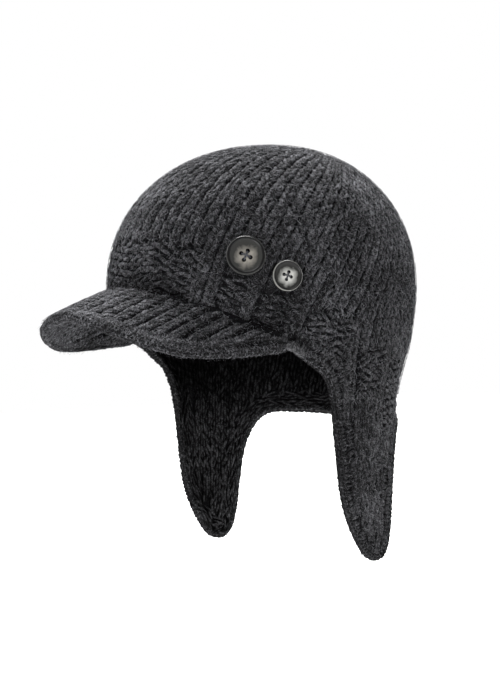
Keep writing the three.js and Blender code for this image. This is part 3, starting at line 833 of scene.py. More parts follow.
@dataclass
class Strands:
    """A growing list of strands, each with its place, direction, outward side and size in millimetres."""

    place: list = field(default_factory=list)
    direction: list = field(default_factory=list)
    outward: list = field(default_factory=list)
    size: list = field(default_factory=list)

    def lay(self, place: Array, direction: Array, outward: Array, size: Array) -> None:
        """Adds strands.

        Args:
            place: (n, 3) middles of the strands.
            direction: (n, 3) directions along them.
            outward: (n, 3) directions out of the cloth.
            size: thickness, width and length, for each strand or for all.
        """
        self.place.append(place)
        self.direction.append(unit(direction))
        self.outward.append(unit(outward))
        self.size.append(np.broadcast_to(size, place.shape).copy())

    def stitches(self, kind: Stitch, place: Array, up: Array, out: Array, width: Array, row: Array,
                 depth: float, plump: float, stagger: float = 1.0, slope: Array | float = 0.0) -> None:
        """Adds the strands of stitches of one kind.

        Args:
            kind: how the stitches show.
            place: (n, 3) middles of the stitches on the wall's middle.
            up: (n, 3) directions of their columns.
            out: (n, 3) directions out of the cloth.
            width: (n,) widths of the columns.
            row: (n,) heights of the rows.
            depth: how far the strands' middles lie from the wall's middle.
            plump: thickness of a strand.
            stagger: how far every other purl strand is shifted, as a share of half a column.
            slope: how steeply the purl strands rise across the column.
        """
        if not len(place):
            return
        across = unit(np.cross(up, out))
        w, r = np.asarray(width, float)[:, None], np.asarray(row, float)[:, None]
        base = place + out * depth
        hand = np.random.default_rng(len(self.place))   # no two stitches are pulled alike
        uneven = lambda spread: hand.normal(0.0, spread, (len(base), 1)).clip(-2 * spread, 2 * spread)
        if kind is Stitch.KNIT:
            for side in (-1, 1):
                middle = (base + across * (side * w * 0.205 + uneven(0.22)) + up * uneven(0.2)
                          + out * uneven(0.10))
                lean = up * r * 1.4 + across * (side * w * 0.27 + uneven(0.35)) - out * 0.9
                self.lay(middle, lean, out,
                         np.hstack([plump + 0 * w, w * (0.375 + uneven(0.045)), r * (1.42 + uneven(0.08))]))
        elif kind is Stitch.PURL:
            for shift, side in ((0.25, 0.0), (-0.25, 0.5)):
                middle = (base + up * (r * shift + uneven(0.22)) + across * (w * side * stagger + uneven(0.3))
                          + out * uneven(0.12))
                sway = (uneven(0.28 if stagger else 0.2)
                        + (np.broadcast_to(slope, len(base))[:, None] if stagger else 0.0))
                self.lay(middle, across + up * sway, out,
                         np.hstack([0.74 * plump + 0 * w, r * (0.47 + uneven(0.04)),
                                    w * (0.71 + uneven(0.07))]))
        elif kind is Stitch.SEED:
            for shift, side in ((0.24, -0.25), (0.26, 0.25), (-0.26, 0.0), (-0.24, 0.5)):
                middle = (base + up * (r * shift + uneven(0.25)) + across * (w * side + uneven(0.35))
                          + out * uneven(0.15))
                self.lay(middle, across + up * uneven(0.34), out,
                         np.hstack([0.9 * plump + 0 * w, r * (0.50 + uneven(0.04)),
                                    w * (0.60 + uneven(0.06))]))
        else:
            for shift, side in ((0.0, -0.33), (0.5, 0.0), (0.15, 0.33)):
                middle = (base + up * (r * shift + uneven(0.5)) + across * (w * side + uneven(0.16))
                          + out * uneven(0.12))
                self.lay(middle, up + across * uneven(0.15), out,
                         np.hstack([plump + 0 * w, w * (0.29 + uneven(0.02)), r * (1.15 + uneven(0.12))]))

    def stacked(self) -> list[Array]:
        """Joins the strands into four arrays: place, direction, outward and size."""
        return [np.vstack(v) for v in (self.place, self.direction, self.outward, self.size)]

    def keep(self, which: Array) -> None:
        """Drops all strands but those marked in an array of booleans."""
        self.place, self.direction, self.outward, self.size = ([v[which]] for v in self.stacked())

    def clear_of(self, line: Array, least: float) -> None:
        """Drops the strands whose middles lie too near a line.

        Args:
            line: (n, 3) points of the line.
            least: the distance kept from it.
        """
        self.keep(nearest(line, np.vstack(self.place))[0] > least)

    def points(self, name: str, keep: Array | None = None) -> bpy.types.Object:
        """Makes the object of loose points that the strand tree reads.

        Args:
            name: the object's name.
            keep: which strands to take, or None for all.

        Returns:
            The points object.
        """
        place, direction, outward, size = (v if keep is None else v[keep] for v in self.stacked())
        obj = mesh_object(name, place, [])
        store(obj, "strand_dir", direction)
        store(obj, "strand_out", outward)
        store(obj, "strand_size", size * MM)
        return obj


@dataclass
class Crown:
    """The crown with its ear flaps, knitted in one: an inner core of cloth and the stitches on both sides."""

    row: float = 4.62           # height of a row
    inner_row: float = 4.4
    depth: float = -0.4         # how far the outer strands' middles lie from the wall's middle
    least_column: float = 3.7   # narrower columns are knitted together towards the pole
    border: float = 11.5        # width of the edging along the flaps and the nape
    border_columns: int = 2
    flap_rise: float = -52.0    # below this the flaps show narrow upright strands
    # blocks of purl: first and last column from the front, lengths from the girth at foot and top, slope
    purl: tuple = ((0, 2, 1, 31, 0.08), (3, 5, -6, 28, -0.08), (8, 9, -18, 11, -0.02),
                   (11, 13, -26, -2, -0.06), (15, 18, -60, -13, -0.05), (20, 22, -66, -37, 0.10),
                   (24, 26, -90, -46, -0.10), (28, 30, -90, -40, 0.10), (32, 34, -90, -46, -0.10))
    strand: float = 3.1         # thickness of the yarn
    skin: float = 0.5           # the core's faces lie this far from the wall's middle
    core_inset: float = 2.2     # the core's rounded edge lies this far in from the wall's edge line
    core_round: float = 0.8     # and is this deep
    level_from: float = 12.0    # the rows of the core's grid lie level from here up, above the girth
    roll_inset: float = 2.15
    binding_inset: float = 2.1
    binding_pitch: float = 2.4  # between the strands that wrap round the edge
    binding_strand: tuple = (1.75, 2.5, 2.9)  # their thickness, width and length
    inside_depth: float = 0.75  # how far the inner strands' middles lie from the wall's middle
    crease_room: float = 2.9    # no strand's middle comes nearer to the peak's seam
    band_top_z: float = -48.0   # the pieces of stitches are split at these heights
    flaps_top_z: float = -112.0

    def grid(self, half: int, low: int, high: int) -> tuple[Array, Array, Array, list[tuple[Array, Array]]]:
        """Lays out the lines of a grid over the whole wall, from its lower edge to the pole.

        Args:
            half: steps along one half of the edge.
            low: rows up to just above the girth.
            high: rows from there to the pole.

        Returns:
            The edge's angles and heights, the way into the cloth, and the angles and heights of each row.
        """
        line = FORM.whole_edge(half)
        n = len(line)
        into_a, into_h = FORM.inward(line)
        first, last = FORM.flap_ends
        ring = line[:, 0].copy()
        for flip in (False, True):
            a = 360 - line[:, 0] if flip else line[:, 0]
            inside = np.where((a > first) & (a < last))[0]
            order = np.array(sorted(inside, key=lambda k: (n - k) if flip else k))
            spread = first + (last - first) * (np.arange(len(order)) + 1) / (len(order) + 1)
            ring[order] = 360 - spread if flip else spread
        sections = []
        a0, h0 = line[:, 0] + into_a * self.core_inset, line[:, 1] + into_h * self.core_inset
        for w in np.linspace(0, 1, low + 1):
            sections.append((a0 + (ring - a0) * smooth(w), h0 + (self.level_from - h0) * w))
        for w in np.linspace(0, 1, high + 1)[1:-1]:
            sections.append((ring, np.full(n, self.level_from + (FORM.dome_length - self.level_from) * w)))
        return line, into_a, into_h, sections

    def core(self, material: bpy.types.Material) -> bpy.types.Object:
        """Builds the closed core of cloth under the stitches.

        Args:
            material: its wool.

        Returns:
            The core object.
        """
        line, into_a, into_h, sections = self.grid(110, 44, 44)
        n = len(line)
        rows = [FORM.on_wall(a, h, np.full(n, self.skin)) for a, h in sections[::-1]]
        for turn in np.radians(np.linspace(90, -90, 7)[1:-1]):
            depth = self.core_inset - self.core_round * math.cos(turn)
            rows.append(FORM.on_wall(line[:, 0] + into_a * depth, line[:, 1] + into_h * depth,
                                     np.full(n, self.skin * math.sin(turn))))
        rows += [FORM.on_wall(a, h, np.full(n, -self.skin)) for a, h in sections]
        verts = np.vstack(rows)
        faces = []
        for i in range(len(rows) - 1):
            j = np.arange(n)
            k = (j + 1) % n
            faces.append(np.stack([i * n + j, (i + 1) * n + j, (i + 1) * n + k, i * n + k], -1))
        faces = np.vstack(faces).tolist()
        pole = FORM.point(np.zeros(1), np.full(1, FORM.dome_length))[0]
        out = unit(verts[:n].mean(0) - verts[-n:].mean(0))
        verts = np.vstack([verts, pole + out * self.skin, pole - out * self.skin])
        top, under = len(verts) - 2, len(verts) - 1
        last_row = (len(rows) - 1) * n
        for j in range(n):
            k = (j + 1) % n
            faces.append([top, j, k])
            faces.append([under, last_row + k, last_row + j])
        return outward(mesh_object("crown_core", verts, faces, material))

    def bed(self, name: str, out: float, first: int, last: int) -> bpy.types.Object:
        """Makes the open sheet on which fibres are strewn, over a part of one side.

        Args:
            name: the object's name.
            out: how far it lies from the wall's middle; below 0 on the inside.
            first: its lowest ring, from 0 at the edge; the band ends at 24.
            last: its highest ring, up to 72 at the top of the dome.

        Returns:
            The sheet.
        """
        line, _, _, sections = self.grid(180, 24, 48)
        n = len(line)
        picked = sections[first:last + 1]
        verts = np.vstack([FORM.on_wall(a, h, np.full(n, out)) for a, h in picked])
        faces = []
        for i in range(len(picked) - 1):
            for j in range(n):
                k = (j + 1) % n
                quad = (i * n + j, i * n + k, (i + 1) * n + k, (i + 1) * n + j)
                faces.append(quad if out > 0 else quad[::-1])
        return mesh_object(name, verts, faces)

    def roll(self, name: str, material: bpy.types.Material | None, radius: float = 1.7) -> bpy.types.Object:
        """Builds the rounded edge of the cloth, all round the opening, or a sleeve round it.

        Args:
            name: the object's name.
            material: its wool, or None for a sleeve that only carries fibres.
            radius: its radius.

        Returns:
            The rolled edge.
        """
        line = FORM.whole_edge(520)
        into_a, into_h = FORM.inward(line)
        a, h = line[:, 0] + into_a * self.roll_inset, line[:, 1] + into_h * self.roll_inset
        p = FORM.point(a, h)
        for _ in range(3):
            p = (np.roll(p, 1, 0) + 2 * p + np.roll(p, -1, 0)) / 4
        out = FORM.axes(a, h)[2]
        side = unit(np.cross(out, unit(np.roll(p, -1, 0) - np.roll(p, 1, 0))))
        return tube(name, p, side, out, radius, True, material, lump=0.05, seed=4)

    def binding(self, strands: Strands) -> None:
        """Lays the short strands that wrap round the edge of the cloth.

        Args:
            strands: the list they go to.
        """
        line = FORM.whole_edge(900)
        into_a, into_h = FORM.inward(line)
        a, h = line[:, 0] + into_a * self.binding_inset, line[:, 1] + into_h * self.binding_inset
        p = FORM.point(a, h)
        run = run_along(p)
        for turn, shift in ((62, 0.0), (14, 0.5), (-34, 0.0), (-80, 0.5)):
            at = np.arange(shift, run[-1] / self.binding_pitch) * self.binding_pitch
            index = np.searchsorted(run, at).clip(0, len(run) - 1)
            index = index[from_front(a[index]) > FORM.seam_end - 2.0]
            out = FORM.axes(a[index], h[index])[2]
            ahead = unit(p[(index + 3) % len(p)] - p[(index - 3) % len(p)])
            away = unit(np.cross(ahead, out))
            outwards = p[index] - FORM.point(a[index] + into_a[index], h[index] + into_h[index])
            away = np.where(((away * outwards).sum(1) < 0)[:, None], -away, away)
            bend = math.radians(turn)
            radial = away * math.cos(bend) + out * math.sin(bend)
            along = out * math.cos(bend) - away * math.sin(bend)
            slant = 0.30 * np.sin(1.7 * index)[:, None]
            strands.lay(p[index] + radial * 0.42, along + ahead * (0.25 + slant), radial,
                        np.array(self.binding_strand))

    def edge_distance(self, points: Array) -> Array:
        """Measures how far points on the wall's middle lie from the lower edge.

        Args:
            points: (n, 3) points.

        Returns:
            Their distances.
        """
        edge = FORM.point(*FORM.whole_edge(900).T)
        tree = KDTree(len(edge))
        for i, p in enumerate(edge):
            tree.insert(p, i)
        tree.balance()
        return np.array([tree.find(p)[2] for p in points])

    def column_stitches(self, row: float, margin: Callable[[Array], Array]) -> dict[str, Array]:
        """Places stitches up every column from the lower edge to where the columns meet.

        Args:
            row: height of a row.
            margin: angle to the width of edging that is left free.

        Returns:
            Arrays of angle, rise (from the girth), place, up, out, width, column and distance to the edge.
        """
        edge_line = FORM.edge_line(1200)
        got: dict[str, list] = {k: [] for k in ("angle", "rise", "place", "up", "out", "width", "column")}
        count = int(FORM.columns_at[-1][1])
        for k in range(count):
            middle = k + 0.5
            rows = np.arange(math.floor(-166 / row), math.ceil(215 / row)) * row + 0.55 * middle
            left, right = (FORM.track(middle + share, rows)[1] for share in (-0.25, 0.25))
            angle, place = FORM.track(middle, rows)
            ahead, behind = FORM.track(middle, rows + 0.6)[1], FORM.track(middle, rows - 0.6)[1]
            up = unit(ahead - behind + 1e-9)
            round_ = right - left
            wide = 2 * np.linalg.norm(round_ - up * (round_ * up).sum(1)[:, None], axis=1)
            level = 0
            while k % (2 ** (level + 1)) == 0 and level < 5:
                level += 1
            # odd columns end first; the others widen to take their place
            merged = np.ceil(np.log2(np.maximum(self.least_column / np.maximum(wide, 1e-3), 1.0)))
            for share in range(1, 6):
                turned = FORM.track(min(middle + (2 ** share - 1) / 2, count), rows)[1]
                place = np.where((merged == share)[:, None], turned, place)
            out = unit(np.cross(round_, up))
            real = np.linalg.norm(ahead - behind, axis=1) > 0.6
            real &= (merged <= level) & (wide * 2 ** merged > 1.2)
            lowest = np.interp(np.abs(angle), edge_line[:, 0], edge_line[:, 1])
            real &= lowest < np.where(rows < 0, place[:, 2] - FORM.girth_z, rows)
            for side in (1, -1):
                flip = np.array([side, 1, 1])
                for name, value in (("angle", angle * side), ("rise", rows), ("place", place * flip),
                                    ("up", up * flip), ("out", out * flip), ("width", wide * 2 ** merged),
                                    ("column", np.full(len(rows), middle * side))):
                    got[name].append(value[real])
        all_ = {k: np.concatenate(v) for k, v in got.items()}
        all_["distance"] = self.edge_distance(all_["place"])
        free = all_["distance"] > margin(all_["angle"])
        return {k: v[free] for k, v in all_.items()}

    def is_front(self, angle: Array) -> Array:
        """Tells which angles lie over the peak's seam."""
        return from_front(angle) < FORM.seam_end + 1.0

    def outer(self) -> Strands:
        """Lays the stitches of the outside.

        Returns:
            The strands.
        """
        margin = lambda a: np.where(self.is_front(a), 1.5, self.border - 1.0)
        s = self.column_stitches(self.row, margin)
        purl, slope = self.purl_blocks(s)
        strands = Strands()
        rows = np.full(len(purl), self.row)
        hand = np.random.default_rng(3).normal(0, 5, len(purl))
        flap = ~purl & (s["rise"] + hand < self.flap_rise)
        knit = ~purl & ~flap
        strands.stitches(Stitch.KNIT, *(s[k][knit] for k in ("place", "up", "out", "width")), rows[knit],
                         self.depth, self.strand)
        strands.stitches(Stitch.RIB, *(s[k][flap] for k in ("place", "up", "out", "width")), rows[flap],
                         self.depth, self.strand * 0.93)
        strands.stitches(Stitch.PURL, *(s[k][purl] for k in ("place", "up", "out", "width")), rows[purl],
                         self.depth, self.strand, slope=slope[purl])
        self.edging(strands, 1)
        self.binding(strands)
        return strands

    def purl_blocks(self, s: dict[str, Array]) -> tuple[Array, Array]:
        """Finds the stitches of the blocks of purl above the rim, which alternate with columns of knit.

        Args:
            s: the stitches.

        Returns:
            Which stitches are purl, and the slope of their arcs.
        """
        column, rise = np.floor(np.abs(s["column"])), s["rise"]
        purl, slope = np.zeros(len(rise), bool), np.zeros(len(rise))
        for first, last, low, high, tilt in self.purl:
            here = (column >= first) & (column <= last) & (rise > low) & (rise < high)
            purl |= here
            slope[here] = tilt
        return purl & (s["distance"] > 3), slope * np.sign(s["column"])

    def inner(self) -> Strands:
        """Lays the strands of the inside, which shows the uneven back of the stitches.

        Returns:
            The strands.
        """
        margin = lambda a: np.where(self.is_front(a), 2.5, self.border + 0.6)
        s = self.column_stitches(self.inner_row, margin)
        strands = Strands()
        rows = np.full(len(s["width"]), self.inner_row)
        back = s["rise"] > -46
        strands.stitches(Stitch.PURL, *(s[k][back] for k in ("place", "up")), -s["out"][back],
                         s["width"][back] * 1.1, rows[back], self.inside_depth, 2.6)
        strands.stitches(Stitch.RIB, *(s[k][~back] for k in ("place", "up")), -s["out"][~back],
                         s["width"][~back], rows[~back], self.inside_depth, 2.4)
        self.edging(strands, -1)
        return strands

    def edging(self, strands: Strands, side: int) -> None:
        """Lays the columns of stitches that run along the edge of the flaps and the nape, and round the rim.

        Args:
            strands: the list they go to.
            side: 1 for the outside with the rim, -1 for the inside.
        """
        line = FORM.whole_edge(900)
        into_a, into_h = FORM.inward(line)
        width = self.border / self.border_columns
        for column in range(self.border_columns):
            depth = 2.0 + width * (column + 0.5)
            a, h = line[:, 0] + into_a * depth, line[:, 1] + into_h * depth
            p = FORM.point(a, h)
            distance = np.interp(np.arange(len(p)), np.arange(0, len(p), 6), self.edge_distance(p[::6]))
            run = run_along(p)
            row = self.row * (0.92 if side > 0 else 1.5)
            at = np.arange(0, run[-1], row)
            index = np.searchsorted(run, at).clip(0, len(run) - 1)
            index = index[(distance[index] > depth - 0.9) & (from_front(a[index]) > FORM.seam_end + 1.5)]
            ahead = unit(p[(index + 3) % len(p)] - p[(index - 3) % len(p)])
            _, _, out = FORM.axes(a[index], h[index])
            rows = np.full(len(index), row)
            wide = np.full(len(index), width)
            if side > 0:
                strands.stitches(Stitch.PURL, p[index], ahead, out, wide, rows, 0.0, self.strand * 0.95, 0.0)
            else:
                strands.stitches(Stitch.RIB, p[index], ahead, -out, wide, rows, self.inside_depth, 2.3)


@dataclass
class Peak:
    """The peak: a slab of knitting that runs forward from its seam on the crown to a rounded edge."""

    thickness: float = 6.8
    half_width: float = 77.0
    front_y: float = -157.2
    squareness: float = 2.28
    front_z: float = -99.3
    drop: float = 29.2
    drop_power: float = 1.47
    temple_rise: float = 9.2
    reach_end: float = 0.96
    arch: float = 1.0
    gap: float = 0.35
    # length down the slope from the middle, and how many columns of stitches lie up to there
    columns_at: tuple = ((0, 0), (41, 5.5), (65.5, 9.5), (84, 12.6))
    row: float = 4.5
    skin: float = 1.1            # the core's faces lie this far from the slab's middle
    root_depth: float = 2.3      # and its root reaches this far into the crown's cloth
    top_strand: float = 2.7      # thickness of the strands on the top
    top_sunk: float = 2.3        # and how far their middles lie under the face
    under_strand: float = 1.7
    under_sunk: float = 1.6
    edge_room: float = 3.0       # the columns end this far from the rounded edge
    crease_room: float = 3.9     # no strand's middle comes nearer to the seam
    edge_reach: float = 0.985    # share of the half outline that the rounded edge covers
    near_edge: float = 0.97      # share forward at which the slab's directions are taken for its edge
    binding_pitch: float = 2.4
    binding_strand: tuple = (1.75, 2.5, 3.1)
    binding_sunk: float = 1.65

    def edge(self, u: Array) -> Array:
        """Gives the middle line of the rounded edge.

        Args:
            u: shares across, from -1 on the wearer's right to 1.

        Returns:
            (n, 3) points in millimetres.
        """
        s, c = np.abs(np.sin(u * np.pi / 2)), np.abs(np.cos(u * np.pi / 2))
        angle = np.full(1, FORM.seam_end)
        back_y = FORM.on_wall(angle, monotone(FORM.seam)(angle), FORM.wall / 2)[0, 1]
        x = self.half_width * s ** (2 / self.squareness)
        y = back_y - (back_y - self.front_y) * c ** (2 / self.squareness)
        rise = self.temple_rise * np.clip((s - 0.75) / 0.25, 0, 1) ** 2
        z = self.front_z - self.drop * (x / self.half_width) ** self.drop_power + rise
        return np.stack([np.sign(u) * x, y, z], -1)

    def root(self, u: Array, below: float) -> Array:
        """Gives the line where the slab meets the crown.

        Args:
            u: shares across.
            below: how far under the seam.

        Returns:
            (n, 3) points in millimetres.
        """
        angle = np.abs(u) * FORM.seam_end
        p = FORM.on_wall(angle, monotone(FORM.seam)(angle) - below, np.full(len(u), FORM.wall / 2 + self.gap))
        p[:, 0] *= np.where(u < 0, -1, 1)
        return p

    def middle(self, u: Array, v: Array) -> Array:
        """Gives points of the slab's middle.

        Args:
            u: shares across.
            v: shares forward, from 0 at the seam to 1 at the edge.

        Returns:
            (n, 3) points in millimetres.
        """
        root, edge = self.root(u, self.thickness / 2), self.edge(u)
        p = root + (edge - root) * v[:, None]
        p[:, 2] += self.arch * 4 * v * (1 - v) * np.cos(u * np.pi / 2)
        return p

    def axes(self, u: Array, v: Array) -> tuple[Array, Array, Array]:
        """Gives the slab's directions.

        Args:
            u: shares across.
            v: shares forward.

        Returns:
            Unit vectors across, forward and up out of the slab.
        """
        e = 0.008
        forward = unit(self.middle(u, np.clip(v + e, 0, 1)) - self.middle(u, np.clip(v - e, 0, 1)))
        along = self.middle(u + e, v) - self.middle(u - e, v)
        up = unit(np.cross(forward, along))
        up = np.where(up[:, 2:3] < 0, -up, up)
        upright = np.array([0.0, 0.0, 1.0]) - forward * forward[:, 2:3]
        w = smooth(np.clip((np.abs(u) - 0.55) / 0.3, 0, 1))[:, None]
        up = unit(up * (1 - w) + unit(upright) * w)
        return unit(np.cross(up, forward)), forward, up

    def edge_frame(self, u: Array) -> tuple[Array, Array, Array, Array]:
        """Gives the rounded edge with its own directions.

        Args:
            u: shares across.

        Returns:
            Its points, and unit vectors along it, out of the slab and up.
        """
        line = self.edge(u)
        along = unit(np.gradient(line, axis=0))
        _, forward, up = self.axes(u, np.full(len(u), self.near_edge))
        side = unit(np.cross(along, up))
        return line, along, np.where(((side * forward).sum(1) < 0)[:, None], -side, side), up

    def core(self, material: bpy.types.Material) -> bpy.types.Object:
        """Builds the closed slab under the stitches; its root reaches into the crown's cloth.

        Args:
            material: its wool.

        Returns:
            The slab object.
        """
        steps, rows = 120, 22
        rings = []
        u = self.reach_end * np.linspace(-1, 1, steps + 1)
        r = self.skin
        inset = self.thickness / 2 - r
        width = np.linalg.norm(self.edge(u) - self.middle(u, np.zeros(len(u))), axis=1)
        last, first = (width - inset - r) / width, -self.root_depth / width
        for w in np.linspace(0, 1, rows):
            v = first + w * (last - first)
            rings.append(self.middle(u, v) + self.axes(u, np.maximum(v, 0))[2] * r)
        _, forward, up = self.axes(u, last)
        centre = self.middle(u, last)
        for turn in np.radians(np.linspace(90, -90, 9)[1:-1]):
            rings.append(centre + forward * r * math.cos(turn) + up * r * math.sin(turn))
        for w in np.linspace(1, 0, rows):
            v = first + w * (last - first)
            rings.append(self.middle(u, v) - self.axes(u, np.maximum(v, 0))[2] * r)
        m, n = len(rings), steps + 1
        verts = np.vstack(rings)
        faces = []
        for i in range(m):
            k = (i + 1) % m
            j = np.arange(steps)
            faces.append(np.stack([i * n + j, i * n + j + 1, k * n + j + 1, k * n + j], -1))
        faces = np.vstack(faces).tolist()
        faces.append([i * n for i in range(m)])
        faces.append([i * n + steps for i in range(m)][::-1])
        return outward(mesh_object("peak_core", verts, faces, material))

    def column_line(self, column: float, grid_u: Array, xs: Array) -> tuple[Array, Array] | None:
        """Follows one column of stitches forward over the slab, at a level distance from the cap's middle.

        Args:
            column: its number from the middle, below 0 on the wearer's right.
            grid_u: shares across at which the slab is known.
            xs: (u, v) distances from the cap's middle there.

        Returns:
            The shares across and forward along it, or None where the slab is too short.
        """
        x_fine = np.linspace(0, self.half_width, 300)
        fall = self.drop * (x_fine / self.half_width) ** self.drop_power
        slope = np.concatenate([[0], np.cumsum(np.hypot(np.diff(x_fine), np.diff(fall)))])
        table = np.array(self.columns_at, float)
        length = np.interp(abs(column), table[:, 1], table[:, 0])
        if length >= slope[-1] - 1.0:
            return None
        x = float(np.interp(length, slope, x_fine)) * (1 if column >= 0 else -1)
        us, vs = [], []
        for j, v in enumerate(np.linspace(0, 1, xs.shape[1])):
            row = xs[:, j]
            if row.min() < x < row.max():
                us.append(np.interp(x, row, grid_u))
                vs.append(v)
        return (np.array(us), np.array(vs)) if len(us) > 2 else None

    def strands(self) -> Strands:
        """Lays the stitches in columns that run forward over the top, round the edge and back below.

        Returns:
            The strands.
        """
        grid_u = np.linspace(-self.reach_end, self.reach_end, 161)
        grid_v = np.linspace(0.0, 1.0, 81)
        uu, vv = (g.ravel() for g in np.meshgrid(grid_u, grid_v, indexing="ij"))
        xs = self.middle(uu, vv)[:, 0].reshape(161, 81)
        strands = Strands()
        half = self.thickness / 2
        last = int(self.columns_at[-1][1])
        for column in range(-last, last + 1):
            found = self.column_line(column, grid_u, xs)
            if found is None:
                continue
            us, vs = found
            track = self.middle(us, vs)
            run = run_along(track)
            neighbour = self.column_line(column + (0.5 if column > 0 else -0.5), grid_u, xs)
            wide = 6.4
            if neighbour is not None:
                half_way = np.abs(self.middle(*neighbour)[-1] - track[-1])[[0, 2]].max()
                wide = float(np.clip(2 * half_way, 5.5, 8.0))
            at = run[-1] - half - 3.2 - np.arange(0, 40) * self.row
            for side, sheet in ((1, at[at > 2.3]), (-1, at[at > 0.8])):
                if not len(sheet):
                    continue
                u, v = np.interp(sheet, run, us), np.interp(sheet, run, vs)
                _, _, up = self.axes(u, v)
                forward = unit(np.stack([np.interp(sheet + 0.5, run, track[:, i])
                                         - np.interp(sheet - 0.5, run, track[:, i]) for i in range(3)], -1))
                width, row = np.full(len(u), wide), np.full(len(u), self.row)
                if side > 0:
                    strands.stitches(Stitch.KNIT, self.middle(u, v), -forward, up, width, row,
                                     half - self.top_sunk, self.top_strand)
                else:
                    strands.stitches(Stitch.SEED, self.middle(u, v), -forward, -up, width, row,
                                     half - self.under_sunk, self.under_strand)
        self.trim(strands, self.edge_room)
        self.binding(strands)
        strands.clear_of(self.crease(), self.crease_room)
        return strands

    def crease(self) -> Array:
        """Gives the line along which the top of the slab meets the outside of the crown."""
        u = np.linspace(-0.94, 0.94, 500)
        _, forward, up = self.axes(u, np.zeros(len(u)))
        return self.middle(u, np.zeros(len(u))) + up * self.thickness / 2 + forward * 0.6

    def trim(self, strands: Strands, room: float) -> None:
        """Drops the strands that come too near the rounded edge.

        Args:
            strands: the stitches.
            room: how much of the slab stays free along its edge.
        """
        line, _, side, _ = self.edge_frame(np.linspace(-1, 1, 800))
        place, direction, _, size = strands.stacked()
        keep = np.ones(len(place), bool)
        for sign in (-1, 1):
            end = place + direction * size[:, 2:] / 2 * sign
            at = nearest(line, end)[1]
            keep &= ((end - line[at]) * side[at]).sum(1) < -room
        strands.keep(keep)

    def binding(self, strands: Strands) -> None:
        """Lays the short strands that wrap round the edge of the peak.

        Args:
            strands: the list they go to.
        """
        u = self.edge_reach * np.linspace(-1, 1, 1600)
        line, along, side, up = self.edge_frame(u)
        run = run_along(line)
        half = self.thickness / 2
        pitch, size, last = self.binding_pitch, np.array(self.binding_strand), len(run) - 1
        stations = lambda shift: np.searchsorted(run, np.arange(shift, run[-1] / pitch) * pitch).clip(0, last)
        for turn, shift in ((78, 0.0), (39, 0.5), (0, 0.0), (-39, 0.5), (-78, 0.0)):
            at = stations(shift)
            bend = math.radians(turn)
            radial = side[at] * math.cos(bend) + up[at] * math.sin(bend)
            round_ = up[at] * math.cos(bend) - side[at] * math.sin(bend)
            slant = 0.2 + 0.30 * np.sin(1.7 * at)[:, None]
            strands.lay(line[at] - side[at] * half + radial * (half - self.binding_sunk),
                        round_ + along[at] * slant, radial, size)
        # and on over both faces, up to where the columns begin
        width = np.linalg.norm(line - self.middle(u, np.zeros(len(u))), axis=1)
        for sign, shift, back in ((1, 0.5, 2.2), (1, 0.0, 4.4), (-1, 0.5, 2.2), (-1, 0.0, 4.4)):
            at = stations(shift)
            towards = (self.axes(u[at], np.full(len(at), self.near_edge))[1] * side[at]).sum(1).clip(0.4, 1)
            v = 1 - (half + back) / towards / width[at]
            at, v = at[v > 0.05], v[v > 0.05]
            out = self.axes(u[at], v)[2] * sign
            slant = 0.2 + 0.30 * np.sin(1.7 * at)[:, None]
            strands.lay(self.middle(u[at], v) + out * (half - self.binding_sunk),
                        side[at] * -sign + along[at] * slant, out, size)

    def roll(self, name: str, material: bpy.types.Material | None, wider: float = 0.0) -> bpy.types.Object:
        """Builds the rounded edge of the peak, or a wider sleeve round it.

        Args:
            name: the object's name.
            material: its wool, or None for a sleeve that only carries fibres.
            wider: how much is added to its radius.

        Returns:
            The rolled edge.
        """
        u = self.edge_reach * np.linspace(-1, 1, 421)
        r = self.thickness / 2 - 0.75
        line, _, side, up = self.edge_frame(u)
        line = line - side * (r + 0.5)
        # beyond the temples the roll sinks into the crown's own edge
        share = np.linspace(0, 1, 60)[1:]
        angle = FORM.seam_end + 0.6 + 7 * share
        bottom = FORM.edge_line(1200)
        height = np.interp(angle, bottom[:, 0], bottom[:, 1]) + 2.6
        tail = FORM.on_wall(angle, height, (FORM.wall / 2 + 0.6) * (1 - smooth(share)) - 0.4)
        other = tail[::-1] * np.array([-1, 1, 1])
        line = np.vstack([other, line, tail])
        radius = np.concatenate([r - (r - 1.9) * smooth(share)[::-1], np.full(len(u), r),
                                 r - (r - 1.9) * smooth(share)])
        for _ in range(40):
            line[1:-1] = (line[:-2] + 2 * line[1:-1] + line[2:]) / 4
        along = unit(np.gradient(line, axis=0))
        out = FORM.axes(angle, height)[2]
        up = np.vstack([out[::-1] * np.array([-1, 1, 1]), up, out])
        for _ in range(30):
            up[1:-1] = unit(up[:-2] + 2 * up[1:-1] + up[2:])
        side = unit(np.cross(along, up))
        up = unit(np.cross(side, along))
        return tube(name, line, side, up, radius[:, None] + wider, False, material, lump=0.04, seed=9)

    def bed(self, name: str, side: int) -> bpy.types.Object:
        """Makes the open sheet on which fibres are strewn.

        Args:
            name: the object's name.
            side: 1 for the top, -1 for the underside.

        Returns:
            The sheet.
        """
        steps, rows = 80, 16
        u = self.reach_end * np.linspace(-1, 1, steps + 1)
        shares = [np.full(len(u), v) for v in np.linspace(0, self.edge_reach, rows)]
        out = self.thickness / 2 - 0.1
        verts = np.vstack([self.middle(u, v) + self.axes(u, v)[2] * side * out for v in shares])
        faces = []
        for i in range(rows - 1):
            for j in range(steps):
                a, b = i * (steps + 1) + j, (i + 1) * (steps + 1) + j
                quad = (a, a + 1, b + 1, b)
                faces.append(quad[::-1] if side > 0 else quad)
        return mesh_object(name, verts, faces)


